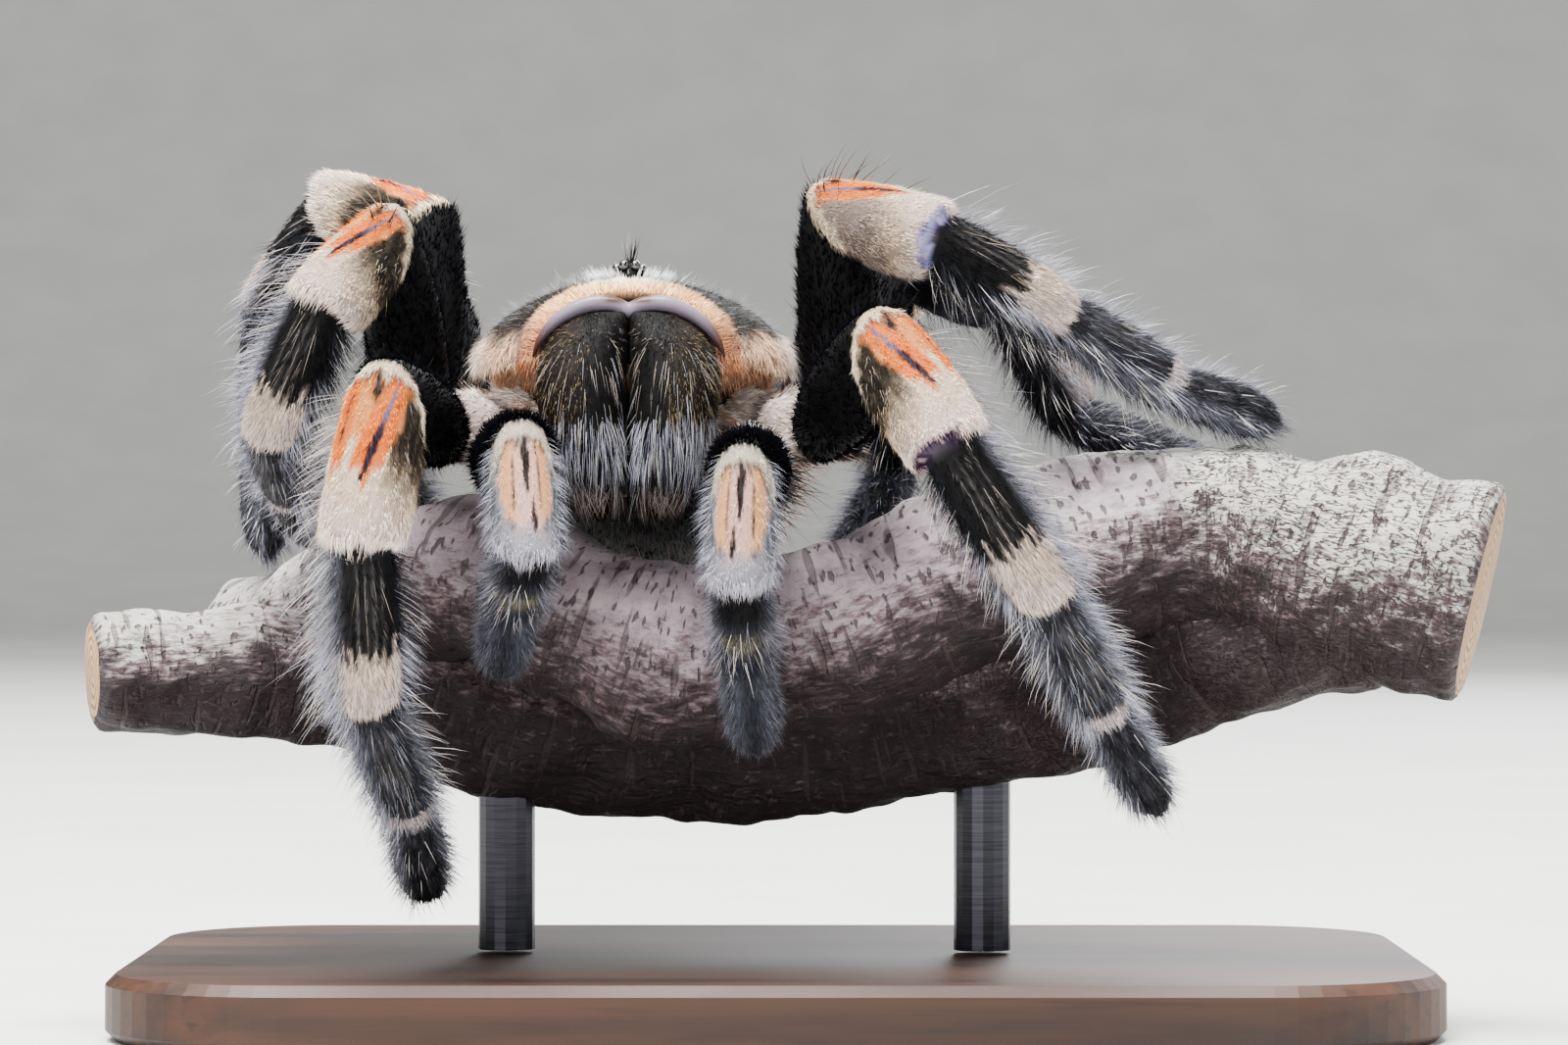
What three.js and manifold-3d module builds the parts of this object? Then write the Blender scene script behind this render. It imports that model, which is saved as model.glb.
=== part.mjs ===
// A Mexican redknee tarantula, life size, draped across a cut length of vine that stands on a small
// display base.
//
// Units are millimetres. +Z is up, the spider faces -Y, and its own left side is +X. The origin is the
// centre of the base's underside. The spider and the vine are laid out in the spider's frame, whose X is
// measured from the midline, Y from the front of the jaws and Z from the floor. MIDLINE_X and
// JAW_FRONT_Y place that frame on the base.
import * as THREE from 'three';
import Module from 'manifold-3d';
import { mergeVertices } from 'three/addons/utils/BufferGeometryUtils.js';

const wasm = await Module();
wasm.setup();

// -------------------------------------------------------------------------------------- driving dimensions
const MIDLINE_X = -11;
const JAW_FRONT_Y = -22;
const GAP = 0.3; // what touching pieces keep between their faces
const LEG_SIDES = 8; // corners of a leg segment's section

// Segment lengths from the hip outwards, and the flesh's widest radius in each segment.
const LEG_SEGMENTS = ['femur', 'patella', 'tibia', 'metatarsus', 'tarsus'];
const PALP_SEGMENTS = ['femur', 'patella', 'tibia', 'tarsus'];
const LIMBS = {
  palp: {
    lengths: [13.5, 8.5, 9.5, 8.5],
    radii: [3.0, 2.9, 2.5, 2.5],
    joints: [2.1, 2.5, 2.1, 1.9],
  },
  leg1: {
    lengths: [18.5, 11.5, 13.5, 12, 8.5],
    radii: [3.5, 3.75, 2.95, 2.6, 2.4],
    joints: [2.4, 2.9, 2.6, 2.2, 1.9],
  },
  leg2: {
    lengths: [16.5, 10, 11.5, 11, 8.3],
    radii: [3.4, 3.55, 2.85, 2.5, 2.3],
    joints: [2.4, 2.8, 2.5, 2.1, 1.9],
  },
  leg3: {
    lengths: [15.5, 9.5, 11, 13, 8.5],
    radii: [3.3, 3.4, 2.75, 2.4, 2.2],
    joints: [2.4, 2.8, 2.4, 2.1, 1.8],
  },
  leg4: {
    lengths: [17.9, 10, 13.7, 17, 9],
    radii: [3.5, 3.6, 2.95, 2.5, 2.3],
    joints: [2.4, 2.9, 2.5, 2.1, 1.9],
  },
};

// Where each coxa starts under the carapace and ends at the hip, on the left side. The right side
// mirrors it.
const HIPS = {
  palp: { coxa: [4.5, 10, 46.3], hip: [9.4, 5.6, 42.8] },
  leg1: { coxa: [5, 13, 46.8], hip: [13.9, 8.6, 45.2] },
  leg2: { coxa: [5, 16, 46.8], hip: [15.5, 14.4, 45.8] },
  leg3: { coxa: [5, 19, 46.8], hip: [16.1, 20.9, 45.8] },
  leg4: { coxa: [5, 22, 46.8], hip: [13, 27, 45.6] },
};

// The pose: each segment's heading in plan, measured from straight ahead towards its own side, and its
// rise, both in degrees. A heading over 90 points back, and a negative one crosses towards the midline.
const POSE = {
  left: {
    palp: [[-3, -3], [-5, -69], [177, -37], [172, -54]],
    leg1: [[16, 19], [33, -40], [120, -53], [144, -48], [124, -55]],
    leg2: [[2, 70], [49, -11], [111, -29], [115, -28], [95, -19]],
    leg3: [[150, 60], [90, -18], [100, -59], [60, -22], [60, -55]],
    leg4: [[155, 49], [165, -18], [173, -80], [-23, -40], [-12, -38]],
  },
  right: {
    palp: [[-8, 4], [-8, -58], [170, -25], [170, -36]],
    leg1: [[10, 7], [18, -65], [180, -59], [198, -46], [189, -49]],
    leg2: [[17, 54], [28, -30], [145, -50], [185, -25], [190, -24]],
    leg3: [[172, 83], [124, 12], [136, -42], [0, -70], [-13, -66]],
    leg4: [[155, 49], [165, -18], [180, -86], [-20, -37], [-5, -36]],
  },
};

// How far along a segment each section stands, and its radius as a share of the segment's widest. The
// two ends take the radius of the joint that they share with the next segment.
const SECTIONS = {
  femur: [[0.18, 0.86], [0.5, 1], [0.84, 0.95]],
  patella: [[0.16, 0.92], [0.52, 1], [0.88, 0.98]],
  tibia: [[0.14, 0.93], [0.55, 1], [0.88, 0.95]],
  metatarsus: [[0.14, 0.95], [0.5, 1], [0.88, 0.94]],
  tarsus: [[0.16, 0.96], [0.5, 1], [0.8, 0.86], [0.95, 0.5]],
};
const SECTION_HEIGHT = 1.05; // a leg is a little deeper than it is wide
const SECTION_WIDTH = 0.98;

// The bristly coat, as flat tapered locks in rows across a segment. A row is how far along it the roots
// stand, how many locks go round it, their length, and how far their tips stand off the surface.
const BRISTLE_ROWS = {
  femur: [],
  patella: [[0.55, 3, 3.8, 1.1]],
  tibia: [[0.24, 4, 4.8, 1.9], [0.6, 4, 4.6, 1.8]],
  metatarsus: [[0.2, 4, 4.8, 1.9], [0.56, 3, 4.4, 1.7]],
  tarsus: [[0.22, 4, 3.8, 1.3], [0.58, 3, 3.4, 1]],
};
const LOCK = { width: 2.5, thickness: 0.8, sunk: 1.1 };
const LOCK_SECTION = [[1, -1], [-1, -1], [0, 1]]; // a flat underside and a ridge along the back
const SHORTER = [1, 0.82, 0.66, 0.5]; // a lock that would cross a neighbour is made shorter, or left out

const COLOURS = {
  black: 0x15130f,
  knee: 0xd9783a,
  cream: 0xc9a987,
  grey: 0x3b3a3c,
  carapace: 0x3a2c1f,
  jaw: 0x2a2219,
  eye: 0x050505,
  fang: 0x120c0a,
  bark: 0x8d7c74,
  wood: 0x3b2a1e,
  rod: 0x2c2c2e,
};
const SEGMENT_COLOURS = {
  femur: 'black', patella: 'knee', tibia: 'cream', metatarsus: 'grey', tarsus: 'grey',
};

// ------------------------------------------------------------------------------------------- small helpers
const vec = (x, y, z) => new THREE.Vector3(x, y, z);
const radians = THREE.MathUtils.degToRad;
const lerp = THREE.MathUtils.lerp;
const mirrored = ([x, y, z], side) => vec(side * x, y, z);

// A seeded random number source, so that the bristles fall the same way each time.
function seeded(seed) {
  let state = seed;
  return () => {
    state = (state * 1664525 + 1013904223) % 4294967296;
    return state / 4294967296;
  };
}

// Reads a smooth value at x from a list of [x, value] knots.
function profile(knots) {
  const curve = new THREE.SplineCurve(knots.map(([x, value]) => new THREE.Vector2(x, value)));
  const samples = curve.getPoints(knots.length * 12);
  return (x) => {
    const i = samples.findIndex((p) => p.x >= x);
    if (i === 0) return samples[0].y;
    if (i < 0) return samples.at(-1).y;
    const [a, b] = [samples[i - 1], samples[i]];
    return lerp(a.y, b.y, (x - a.x) / (b.x - a.x));
  };
}

// A closed surface through rings of equal count. Each end is closed by a fan on its centre, or on the
// tip if given.
function loft(rings, tip) {
  const count = rings[0].length;
  const points = rings.flat();
  const triangles = [];
  for (let r = 0; r + 1 < rings.length; r++) {
    for (let i = 0; i < count; i++) {
      const j = (i + 1) % count;
      const [a, b, c, d] = [r * count + i, r * count + j, (r + 1) * count + j, (r + 1) * count + i];
      triangles.push(a, b, c, a, c, d);
    }
  }
  const centreOf = (ring) => ring.reduce((sum, p) => sum.add(p), vec(0, 0, 0)).divideScalar(count);
  const last = (rings.length - 1) * count;
  points.push(centreOf(rings[0]), tip ?? centreOf(rings.at(-1)));
  for (let i = 0; i < count; i++) {
    const j = (i + 1) % count;
    triangles.push(points.length - 2, j, i);
    triangles.push(points.length - 1, last + i, last + j);
  }
  return new THREE.BufferGeometry().setFromPoints(points).setIndex(triangles);
}

// A closed geometry as a manifold-3d solid, turned to face outwards.
function solid(geometry) {
  const bare = geometry.index ? geometry.toNonIndexed() : geometry.clone();
  bare.deleteAttribute('normal');
  bare.deleteAttribute('uv');
  const merged = mergeVertices(bare, 1e-4);
  const points = merged.attributes.position.array;
  const make = (triVerts) =>
    new wasm.Manifold(new wasm.Mesh({ numProp: 3, vertProperties: points, triVerts }));
  const made = make(new Uint32Array(merged.index.array));
  return made.volume() > 0 ? made : make(new Uint32Array(merged.index.array).reverse());
}

const union = (solids) => solids.reduce((all, next) => all.add(next));

// The largest closed body of a solid, as a mesh with its own material.
function node(name, body, colour) {
  const largest = body.decompose().sort((a, b) => b.volume() - a.volume())[0];
  const { numProp, numVert, vertProperties, triVerts } = largest.getMesh();
  const positions = new Float32Array(numVert * 3);
  for (let i = 0; i < numVert; i++) {
    positions.set(vertProperties.subarray(i * numProp, i * numProp + 3), i * 3);
  }
  const geometry = new THREE.BufferGeometry();
  geometry.setAttribute('position', new THREE.BufferAttribute(positions, 3));
  geometry.setIndex(new THREE.BufferAttribute(triVerts, 1));
  const material = new THREE.MeshStandardMaterial({ color: COLOURS[colour], roughness: 0.8, metalness: 0 });
  const mesh = new THREE.Mesh(geometry, material);
  mesh.name = name;
  return mesh;
}

// ---------------------------------------------------------------------------------------------------- coat
// A flat lock of bristles. It leaves the surface steeply from a sunk root, bends over along the coat's
// lie, and tapers to a point. The margin fattens it, to test whether it keeps clear of its neighbours.
function lockSolid(lock, margin = 0) {
  const { root, outward, along, length, lift, width, sunk } = { ...LOCK, ...lock };
  const across = outward.clone().cross(along).normalize();
  const at = (run, rise) => root.clone().addScaledVector(along, run).addScaledVector(outward, rise);
  const tip = at(length + margin, lift);
  const stations = [
    [at(-0.3, -sunk), 0.8, 1],
    [at(length * 0.4, lift * 0.6), 1, 1],
    [at(length * 0.75, lift * 0.92), 0.66, 0.9],
  ];
  const rings = stations.map(([centre, widthShare, thicknessShare], s) => {
    const next = stations[s + 1]?.[0] ?? tip;
    const facing = next.clone().sub(centre).normalize().cross(across).negate();
    const halfWidth = (width * widthShare) / 2 + margin;
    const halfThickness = (LOCK.thickness * thicknessShare) / 2 + margin;
    return LOCK_SECTION.map(([u, v]) =>
      centre.clone().addScaledVector(across, u * halfWidth).addScaledVector(facing, v * halfThickness),
    );
  });
  return solid(loft(rings, tip));
}

function apart(a, b) {
  const [boxA, boxB] = [a.boundingBox(), b.boundingBox()];
  const away = [0, 1, 2].some((k) => boxA.min[k] > boxB.max[k] || boxB.min[k] > boxA.max[k]);
  return away || a.intersect(b).isEmpty();
}

// Adds a piece's locks to it, each as long as its neighbours leave room for.
function growCoat(pieces) {
  for (const piece of pieces) {
    for (const lock of piece.coat) {
      const others = pieces.filter((other) => other !== piece);
      const solids = others.flatMap(({ core, locks }) => [core, ...locks]);
      const { length, lift } = lock;
      const tries = SHORTER.map((share) => ({ ...lock, length: length * share, lift: lift * share }));
      const isClear = (shape) => solids.every((other) => apart(lockSolid(shape, GAP), other));
      const fits = tries.find(isClear);
      if (fits) piece.locks.push(lockSolid(fits));
    }
  }
}

// --------------------------------------------------------------------------------------------------- limbs
function heading([azimuth, rise], side) {
  const [a, e] = [radians(azimuth), radians(rise)];
  return vec(side * Math.sin(a) * Math.cos(e), -Math.cos(a) * Math.cos(e), Math.sin(e));
}

// The joints of a limb from coxa to tip, each segment's axis, and its dorsal direction: the convex side
// of the arch. At the knee that is where the femur points past the patella, and it is carried along the
// limb without twisting.
function limbFrame(kind, sideName) {
  const side = sideName === 'left' ? 1 : -1;
  const { lengths } = LIMBS[kind];
  const coxa = mirrored(HIPS[kind].coxa, side);
  const hip = mirrored(HIPS[kind].hip, side);
  const axes = [hip.clone().sub(coxa).normalize()];
  const joints = [coxa, hip];
  POSE[sideName][kind].forEach((angles, i) => {
    const axis = heading(angles, side);
    axes.push(axis);
    joints.push(joints.at(-1).clone().addScaledVector(axis, lengths[i]));
  });
  const dorsal = [];
  dorsal[2] = axes[1].clone().addScaledVector(axes[2], -axes[1].dot(axes[2])).normalize();
  const carry = (from, to) => {
    const turn = new THREE.Quaternion().setFromUnitVectors(axes[from], axes[to]);
    dorsal[to] = dorsal[from].clone().applyQuaternion(turn);
  };
  carry(2, 1);
  carry(1, 0);
  for (let i = 3; i < axes.length; i++) carry(i - 1, i);
  return { axes, joints, dorsal };
}

// The offset from a segment's axis to its surface, at an angle from the dorsal line.
function rim(axis, dorsal, angle, radius) {
  const across = axis.clone().cross(dorsal);
  return dorsal
    .clone()
    .multiplyScalar(Math.cos(angle) * radius * SECTION_HEIGHT)
    .addScaledVector(across, Math.sin(angle) * radius * SECTION_WIDTH);
}

// One segment as a solid. Its end faces lie on the planes that halve the bends at its two joints, so
// that it meets its neighbours face to face, and its sections lean from the one plane to the other.
function segment(frame, i, sections, startRadius, endRadius, radius) {
  const { axes, joints, dorsal } = frame;
  const [axis, up, start, end] = [axes[i], dorsal[i], joints[i], joints[i + 1]];
  const length = start.distanceTo(end);
  const halving = (a, b) => (a && b ? a.clone().add(b).normalize() : axis);
  const [startPlane, endPlane] = [halving(axes[i - 1], axis), halving(axis, axes[i + 1])];
  const along = (offset, plane) => -offset.dot(plane) / axis.dot(plane);
  const ring = (share, r, inset) => {
    const points = [];
    for (let k = 0; k < LEG_SIDES; k++) {
      const offset = rim(axis, up, (k / LEG_SIDES) * Math.PI * 2, r);
      const place = lerp(along(offset, startPlane), length + along(offset, endPlane), share) + inset;
      points.push(start.clone().add(offset).addScaledVector(axis, place));
    }
    return points;
  };
  const isTip = i === axes.length - 1;
  const rings = [ring(0, startRadius, i === 0 ? 0 : GAP / 2 / axis.dot(startPlane))];
  for (const [share, size] of sections) rings.push(ring(share, size * radius, 0));
  if (!isTip) rings.push(ring(1, endRadius, -GAP / 2 / axis.dot(endPlane)));
  return loft(rings, isTip ? end : undefined);
}

// The rows of bristles on a segment, leaning towards its tip. Each row's locks stand between those of
// the row before.
function segmentCoat(frame, i, name, radius, random) {
  const { axes, joints, dorsal } = frame;
  const [axis, up, start] = [axes[i], dorsal[i], joints[i]];
  const length = start.distanceTo(joints[i + 1]);
  return BRISTLE_ROWS[name].flatMap(([share, count, lockLength, lift], row) =>
    Array.from({ length: count }, (_, k) => {
      const angle = ((k + 0.5 * ((row + 1) % 2) + 0.25 * (random() - 0.5)) / count) * Math.PI * 2;
      const outward = rim(axis, up, angle, 1).normalize();
      const place = length * (share + 0.06 * (random() - 0.5));
      const root = start.clone().addScaledVector(axis, place).addScaledVector(outward, radius * 0.95);
      const size = 0.9 + 0.2 * random();
      return { root, outward, along: axis, length: lockLength * size, lift: lift * size };
    }),
  );
}

function limb(kind, sideName, random) {
  const { lengths, radii, joints } = LIMBS[kind];
  const names = lengths.length === 4 ? PALP_SEGMENTS : LEG_SEGMENTS;
  const frame = limbFrame(kind, sideName);
  const coxaSections = [[0.3, 1], [0.75, 0.98]];
  const coxa = solid(segment(frame, 0, coxaSections, 2, joints[0], joints[0] * 1.12));
  const segments = names.map((name, i) => ({
    name: `${kind}_${sideName}_${name}`,
    colour: SEGMENT_COLOURS[name],
    core: solid(segment(frame, i + 1, SECTIONS[name], joints[i], joints[i + 1], radii[i])),
    coat: segmentCoat(frame, i + 1, name, radii[i], random),
  }));
  return { coxa, segments };
}

// ---------------------------------------------------------------------------------------------------- body
const CARAPACE = { front: 4.5, rear: 31, underside: 50.2 };
const carapaceHalfWidth = profile([
  [4.5, 7.9], [8, 9.5], [13, 11.6], [18, 12.2], [24, 11.2], [28.5, 8], [31, 3.6],
]);
const carapaceTop = profile([
  [4.5, 56.8], [8, 57.2], [14, 56.9], [19, 55.9], [25, 55.2], [29, 53.4], [31, 51.6],
]);

// The domed shield over the head and chest: an arch at each station from front to rear, on a flat
// underside.
function carapace() {
  const [stations, corners] = [12, 18];
  const rings = [];
  for (let s = 0; s <= stations; s++) {
    const y = lerp(CARAPACE.front, CARAPACE.rear, s / stations);
    const [width, height] = [carapaceHalfWidth(y), carapaceTop(y) - CARAPACE.underside];
    const ring = [];
    for (let k = 0; k <= corners; k++) {
      const a = (k / corners) * Math.PI;
      const squareness = 0.86; // under 1 fills the shoulders of the arch
      ring.push(vec(width * Math.cos(a), y, CARAPACE.underside + height * Math.sin(a) ** squareness));
    }
    rings.push(ring);
  }
  return solid(loft(rings));
}

const WAIST = { end: 32, z: 47.4, radius: 1.9, length: 8 };

// The chest under the carapace, as wide as the shield above and narrowing to the sternum, with the waist
// behind.
function chest() {
  const [top, bottom, corners] = [CARAPACE.underside - GAP, 43.7, 16];
  const levels = [[top, 0.93], [48, 0.86], [45.5, 0.68], [bottom, 0.5]];
  const rings = levels.map(([z, share]) => {
    const ring = [];
    for (let k = 0; k < corners; k++) {
      const a = (k / corners) * Math.PI * 2;
      const y = 17.5 + 12.6 * Math.cos(a) * lerp(1, share, 0.6);
      const squared = Math.sign(Math.sin(a)) * Math.abs(Math.sin(a)) ** 0.3; // an oval with full sides
      ring.push(vec(carapaceHalfWidth(y) * share * squared, y, z));
    }
    return ring;
  });
  const waist = new THREE.CylinderGeometry(WAIST.radius, WAIST.radius, WAIST.length, 12);
  waist.translate(0, WAIST.end - GAP - WAIST.length / 2, WAIST.z);
  return union([solid(loft(rings)), solid(waist)]);
}

const abdomenHalfWidth = profile([
  [32, 1.9], [34, 6.2], [38.5, 10.6], [45, 12.9], [52, 13.3], [59, 11.8], [64.5, 8], [68, 2.8],
]);
const abdomenCentre = profile([[32, 47.4], [36, 46.6], [45, 45.2], [55, 44.4], [68, 43.4]]);
const ABDOMEN_DEPTH = 0.86;

function abdomenRing(y, corners) {
  const ring = [];
  for (let k = 0; k < corners; k++) {
    const a = (k / corners) * Math.PI * 2;
    const width = abdomenHalfWidth(y);
    ring.push(vec(width * Math.cos(a), y, abdomenCentre(y) + width * ABDOMEN_DEPTH * Math.sin(a)));
  }
  return ring;
}

// Rows of long bristles round the abdomen, leaning to the rear: [y, how many].
const ABDOMEN_ROWS = [[37.5, 6], [43, 7], [48.5, 7], [54, 7], [59.5, 5]];
const ABDOMEN_LOCK = { length: 7, lift: 2.1, width: 2.8 };

function abdomenCoat(random) {
  return ABDOMEN_ROWS.flatMap(([y, count], row) =>
    Array.from({ length: count }, (_, k) => {
      const a = ((k + 0.5 * (row % 2) + 0.3 * (random() - 0.5)) / count) * Math.PI * 2;
      const width = abdomenHalfWidth(y);
      const slope = abdomenHalfWidth(y + 0.5) - abdomenHalfWidth(y - 0.5);
      const root = vec(width * Math.cos(a), y, abdomenCentre(y) + width * ABDOMEN_DEPTH * Math.sin(a));
      const outward = vec(Math.cos(a) * ABDOMEN_DEPTH, -slope * ABDOMEN_DEPTH, Math.sin(a)).normalize();
      const along = vec(0, 1, 0).addScaledVector(outward, -outward.y).normalize();
      const size = 0.85 + 0.3 * random();
      const { length, lift, width: lockWidth } = ABDOMEN_LOCK;
      return { root, outward, along, length: length * size, lift: lift * size, width: lockWidth };
    }),
  );
}

// A tapered, bending horn through a list of [x, y, z, radius] stations, ending in a point.
function horn(stations, corners) {
  const centres = stations.map(([x, y, z]) => vec(x, y, z));
  const rings = centres.slice(0, -1).map((centre, i) => {
    const tangent = centres[i + 1].clone().sub(centres[Math.max(i - 1, 0)]).normalize();
    const side = vec(1, 0, 0).addScaledVector(tangent, -tangent.x).normalize();
    const up = tangent.clone().cross(side);
    const ring = [];
    for (let k = 0; k < corners; k++) {
      const a = (k / corners) * Math.PI * 2;
      const r = stations[i][3];
      ring.push(centre.clone().addScaledVector(side, r * Math.cos(a)).addScaledVector(up, r * Math.sin(a)));
    }
    return ring;
  });
  return solid(loft(rings, centres.at(-1)));
}

// Half of the spinneret pair, as [x, y, z, radius], rooted in the rear of the abdomen.
const SPINNERET = [
  [1.2, 63.5, 40.4, 1.3], [1.7, 67.5, 39.6, 1.1], [2.2, 70, 39.4, 0.8], [2.6, 72.6, 40, 0.1],
];
const mirrorStations = (stations, side) => stations.map(([x, ...rest]) => [side * x, ...rest]);

function abdomen() {
  const stations = [32, 33.6, 36, 39.5, 44, 49, 54, 58.5, 62.5, 65.5, 67.4];
  const sac = solid(loft(stations.map((y) => abdomenRing(y, 16)), vec(0, 68, abdomenCentre(68))));
  const spinnerets = [-1, 1].map((side) => horn(mirrorStations(SPINNERET, side), 6));
  return union([sac, ...spinnerets]);
}

// A basal jaw segment: a bulging half-round column beside its twin, with a flat back against the
// carapace's front. Its outer edge and its front are given at each height.
const JAW = { back: CARAPACE.front - GAP, inner: GAP / 2, bottom: 40.3, corners: 10 };
const JAW_HEIGHTS = [40.3, 41.4, 43.6, 46.6, 49.6, 51.9, 53.4, 54.2];
const jawOuter = profile([
  [40.3, 4.5], [41.4, 5.2], [43.6, 6], [46.6, 6.9], [49.6, 7.1], [51.9, 6.2], [53.4, 4.7], [54.2, 2.9],
]);
const jawFront = profile([
  [40.3, 1], [41.4, -0.5], [43.6, -1.6], [46.6, -2], [49.6, -1.6], [51.9, -0.4], [53.4, 1.4], [54.2, 3],
]);

// A point of the jaw's rounded front at a height, from its inner edge at 0 round to its outer edge at
// half a turn.
function jawPoint(side, z, a) {
  const x = lerp(JAW.inner, jawOuter(z), 0.5 - 0.5 * Math.sign(Math.cos(a)) * Math.abs(Math.cos(a)) ** 0.9);
  return vec(side * x, JAW.back - (JAW.back - jawFront(z)) * Math.sin(a) ** 0.75, z);
}

function jaw(side) {
  const turn = Math.PI / JAW.corners;
  const ring = (z) => Array.from({ length: JAW.corners + 1 }, (_, k) => jawPoint(side, z, k * turn));
  return solid(loft(JAW_HEIGHTS.map(ring)));
}

// The fringe of bristles that hangs over the lower edge of a jaw, in rows of [height, how many, length].
const JAW_ROWS = [[42.2, 4, 3.4], [45.6, 3, 4]];

function jawCoat(side, random) {
  return JAW_ROWS.flatMap(([z, count, length]) =>
    Array.from({ length: count }, (_, k) => {
      const a = ((k + 0.6 + 0.3 * (random() - 0.5)) / (count + 0.2)) * Math.PI;
      const outward = vec(-side * Math.cos(a) * 0.7, -Math.sin(a) - 0.2, 0).normalize();
      const size = 0.9 + 0.2 * random();
      const root = jawPoint(side, z, a);
      return { root, outward, along: vec(0, 0, -1), length: length * size, lift: 0.7, width: 1.6 };
    }),
  );
}

// A fang, folded back under its jaw, as [x, y, z, radius].
const FANG_ROOT = JAW.bottom - GAP;
const FANG = [
  [2.2, 2.9, FANG_ROOT, 1], [2.2, 2.9, 39.4, 1], [2.2, 4, 38.6, 0.85], [2.1, 6, 38.4, 0.6], [2, 8.6, 39, 0.1],
];

// The mound of eyes on the front of the carapace: two round ones in front, one oblong one each side,
// four behind. An eye is [x, y and z from the mound's foot, radius]. A tuft of bristles stands on the
// mound.
const TUBERCLE = { y: 7.6, base: 57.45, length: 1.5, width: 1.9, height: 1.05 };
const TUFT = [[-0.55, 0.3], [0.5, -0.2], [0, 0.7]];
const EYES = [
  [0.62, -0.75, 0.62, 0.42], [1.35, -0.35, 0.42, 0.38], [1.3, 0.55, 0.45, 0.36], [0.8, 0.75, 0.6, 0.3],
];

function eyeMound() {
  const { y, base, length, width, height } = TUBERCLE;
  const rings = [0, 0.35, 0.65, 0.88].map((share) => {
    const ring = [];
    for (let k = 0; k < 12; k++) {
      const a = (k / 12) * Math.PI * 2;
      const r = Math.sqrt(1 - share * share);
      ring.push(vec(width * r * Math.cos(a), y + length * r * Math.sin(a), base + height * share));
    }
    return ring;
  });
  const mound = solid(loft(rings, vec(0, y, base + height)));
  const eyes = [-1, 1].flatMap((side) =>
    EYES.map(([x, dy, dz, r]) => {
      const ball = new THREE.OctahedronGeometry(r, 1);
      return solid(ball.translate(side * x, y + dy, base + dz));
    }),
  );
  return union([mound, ...eyes]);
}

function eyeTuft() {
  const root = vec(0, TUBERCLE.y + 0.2, TUBERCLE.base + TUBERCLE.height - 0.1);
  return TUFT.map(([x, y]) => ({
    root: root.clone().add(vec(x * 0.6, y * 0.4, 0)),
    outward: vec(0, 0, 1),
    along: vec(x, y, 0).normalize(),
    length: 0.8,
    lift: 1.6,
    width: 0.8,
    sunk: 0.45,
  }));
}

// ------------------------------------------------------------------------------------------ vine and stand
// The vine's two strands as [x, y, z, radius], from right to left as the spider sees it. They grow
// together at both ends of the cut length.
const FRONT_STRAND = [
  [64, 7, 33, 8.8], [54.5, 9, 35.3, 8.3], [45, 11.5, 37, 7.6], [34, 10.5, 36, 7.4],
  [23.5, 9.5, 33.3, 6.8], [13, 9.5, 29.6, 6.6], [3.5, 9.5, 28.8, 7], [-4, 10, 31.2, 6.5],
  [-10.5, 12.5, 34, 6.3], [-17, 18.5, 33.5, 6.2], [-25, 27, 29.5, 6.2], [-31, 33, 28, 6.2],
];
const BACK_STRAND = [
  [56, 9, 32, 6], [47, 12, 30.5, 6.5], [38, 17, 27, 6.3], [29, 21, 24.3, 6.2], [18, 24, 22.3, 6.4],
  [6, 24.5, 21.8, 6.6], [-7, 23.5, 22.8, 6.4], [-19, 20, 25.5, 5.8], [-30, 15, 27.3, 4.9], [-41, 12, 27, 4.8],
];

function strand(stations, corners, steps) {
  const path = new THREE.CatmullRomCurve3(stations.map(([x, y, z]) => vec(x, y, z)));
  const girth = new THREE.CatmullRomCurve3(stations.map(([, , , r]) => vec(r, 0, 0)));
  const rings = [];
  for (let s = 0; s <= steps; s++) {
    const [centre, tangent] = [path.getPoint(s / steps), path.getTangent(s / steps)];
    const r = girth.getPoint(s / steps).x;
    const up = vec(0, 0, 1).addScaledVector(tangent, -tangent.z).normalize();
    const side = tangent.clone().cross(up);
    const ring = [];
    for (let k = 0; k < corners; k++) {
      const a = (k / corners) * Math.PI * 2;
      ring.push(centre.clone().addScaledVector(side, r * Math.cos(a)).addScaledVector(up, r * Math.sin(a)));
    }
    rings.push(ring);
  }
  return solid(loft(rings));
}

const BASE = { length: 100, depth: 64, thickness: 5, corner: 14, bevel: 0.8 };
const ROD = { radius: 2.2, sunk: 21.5, places: [[-10, 22.6], [27, 21.6]] };

function rodShape(x, y, radius, from, to) {
  const tube = new THREE.CylinderGeometry(radius, radius, to - from, 16).rotateX(Math.PI / 2);
  return solid(tube.translate(x, y, (from + to) / 2));
}

function vine() {
  const wood = union([strand(FRONT_STRAND, 11, 22), strand(BACK_STRAND, 11, 18)]);
  return ROD.places.reduce(
    (left, [x, y]) => left.subtract(rodShape(x, y, ROD.radius + GAP, 0, ROD.sunk + GAP)),
    wood,
  );
}

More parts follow.
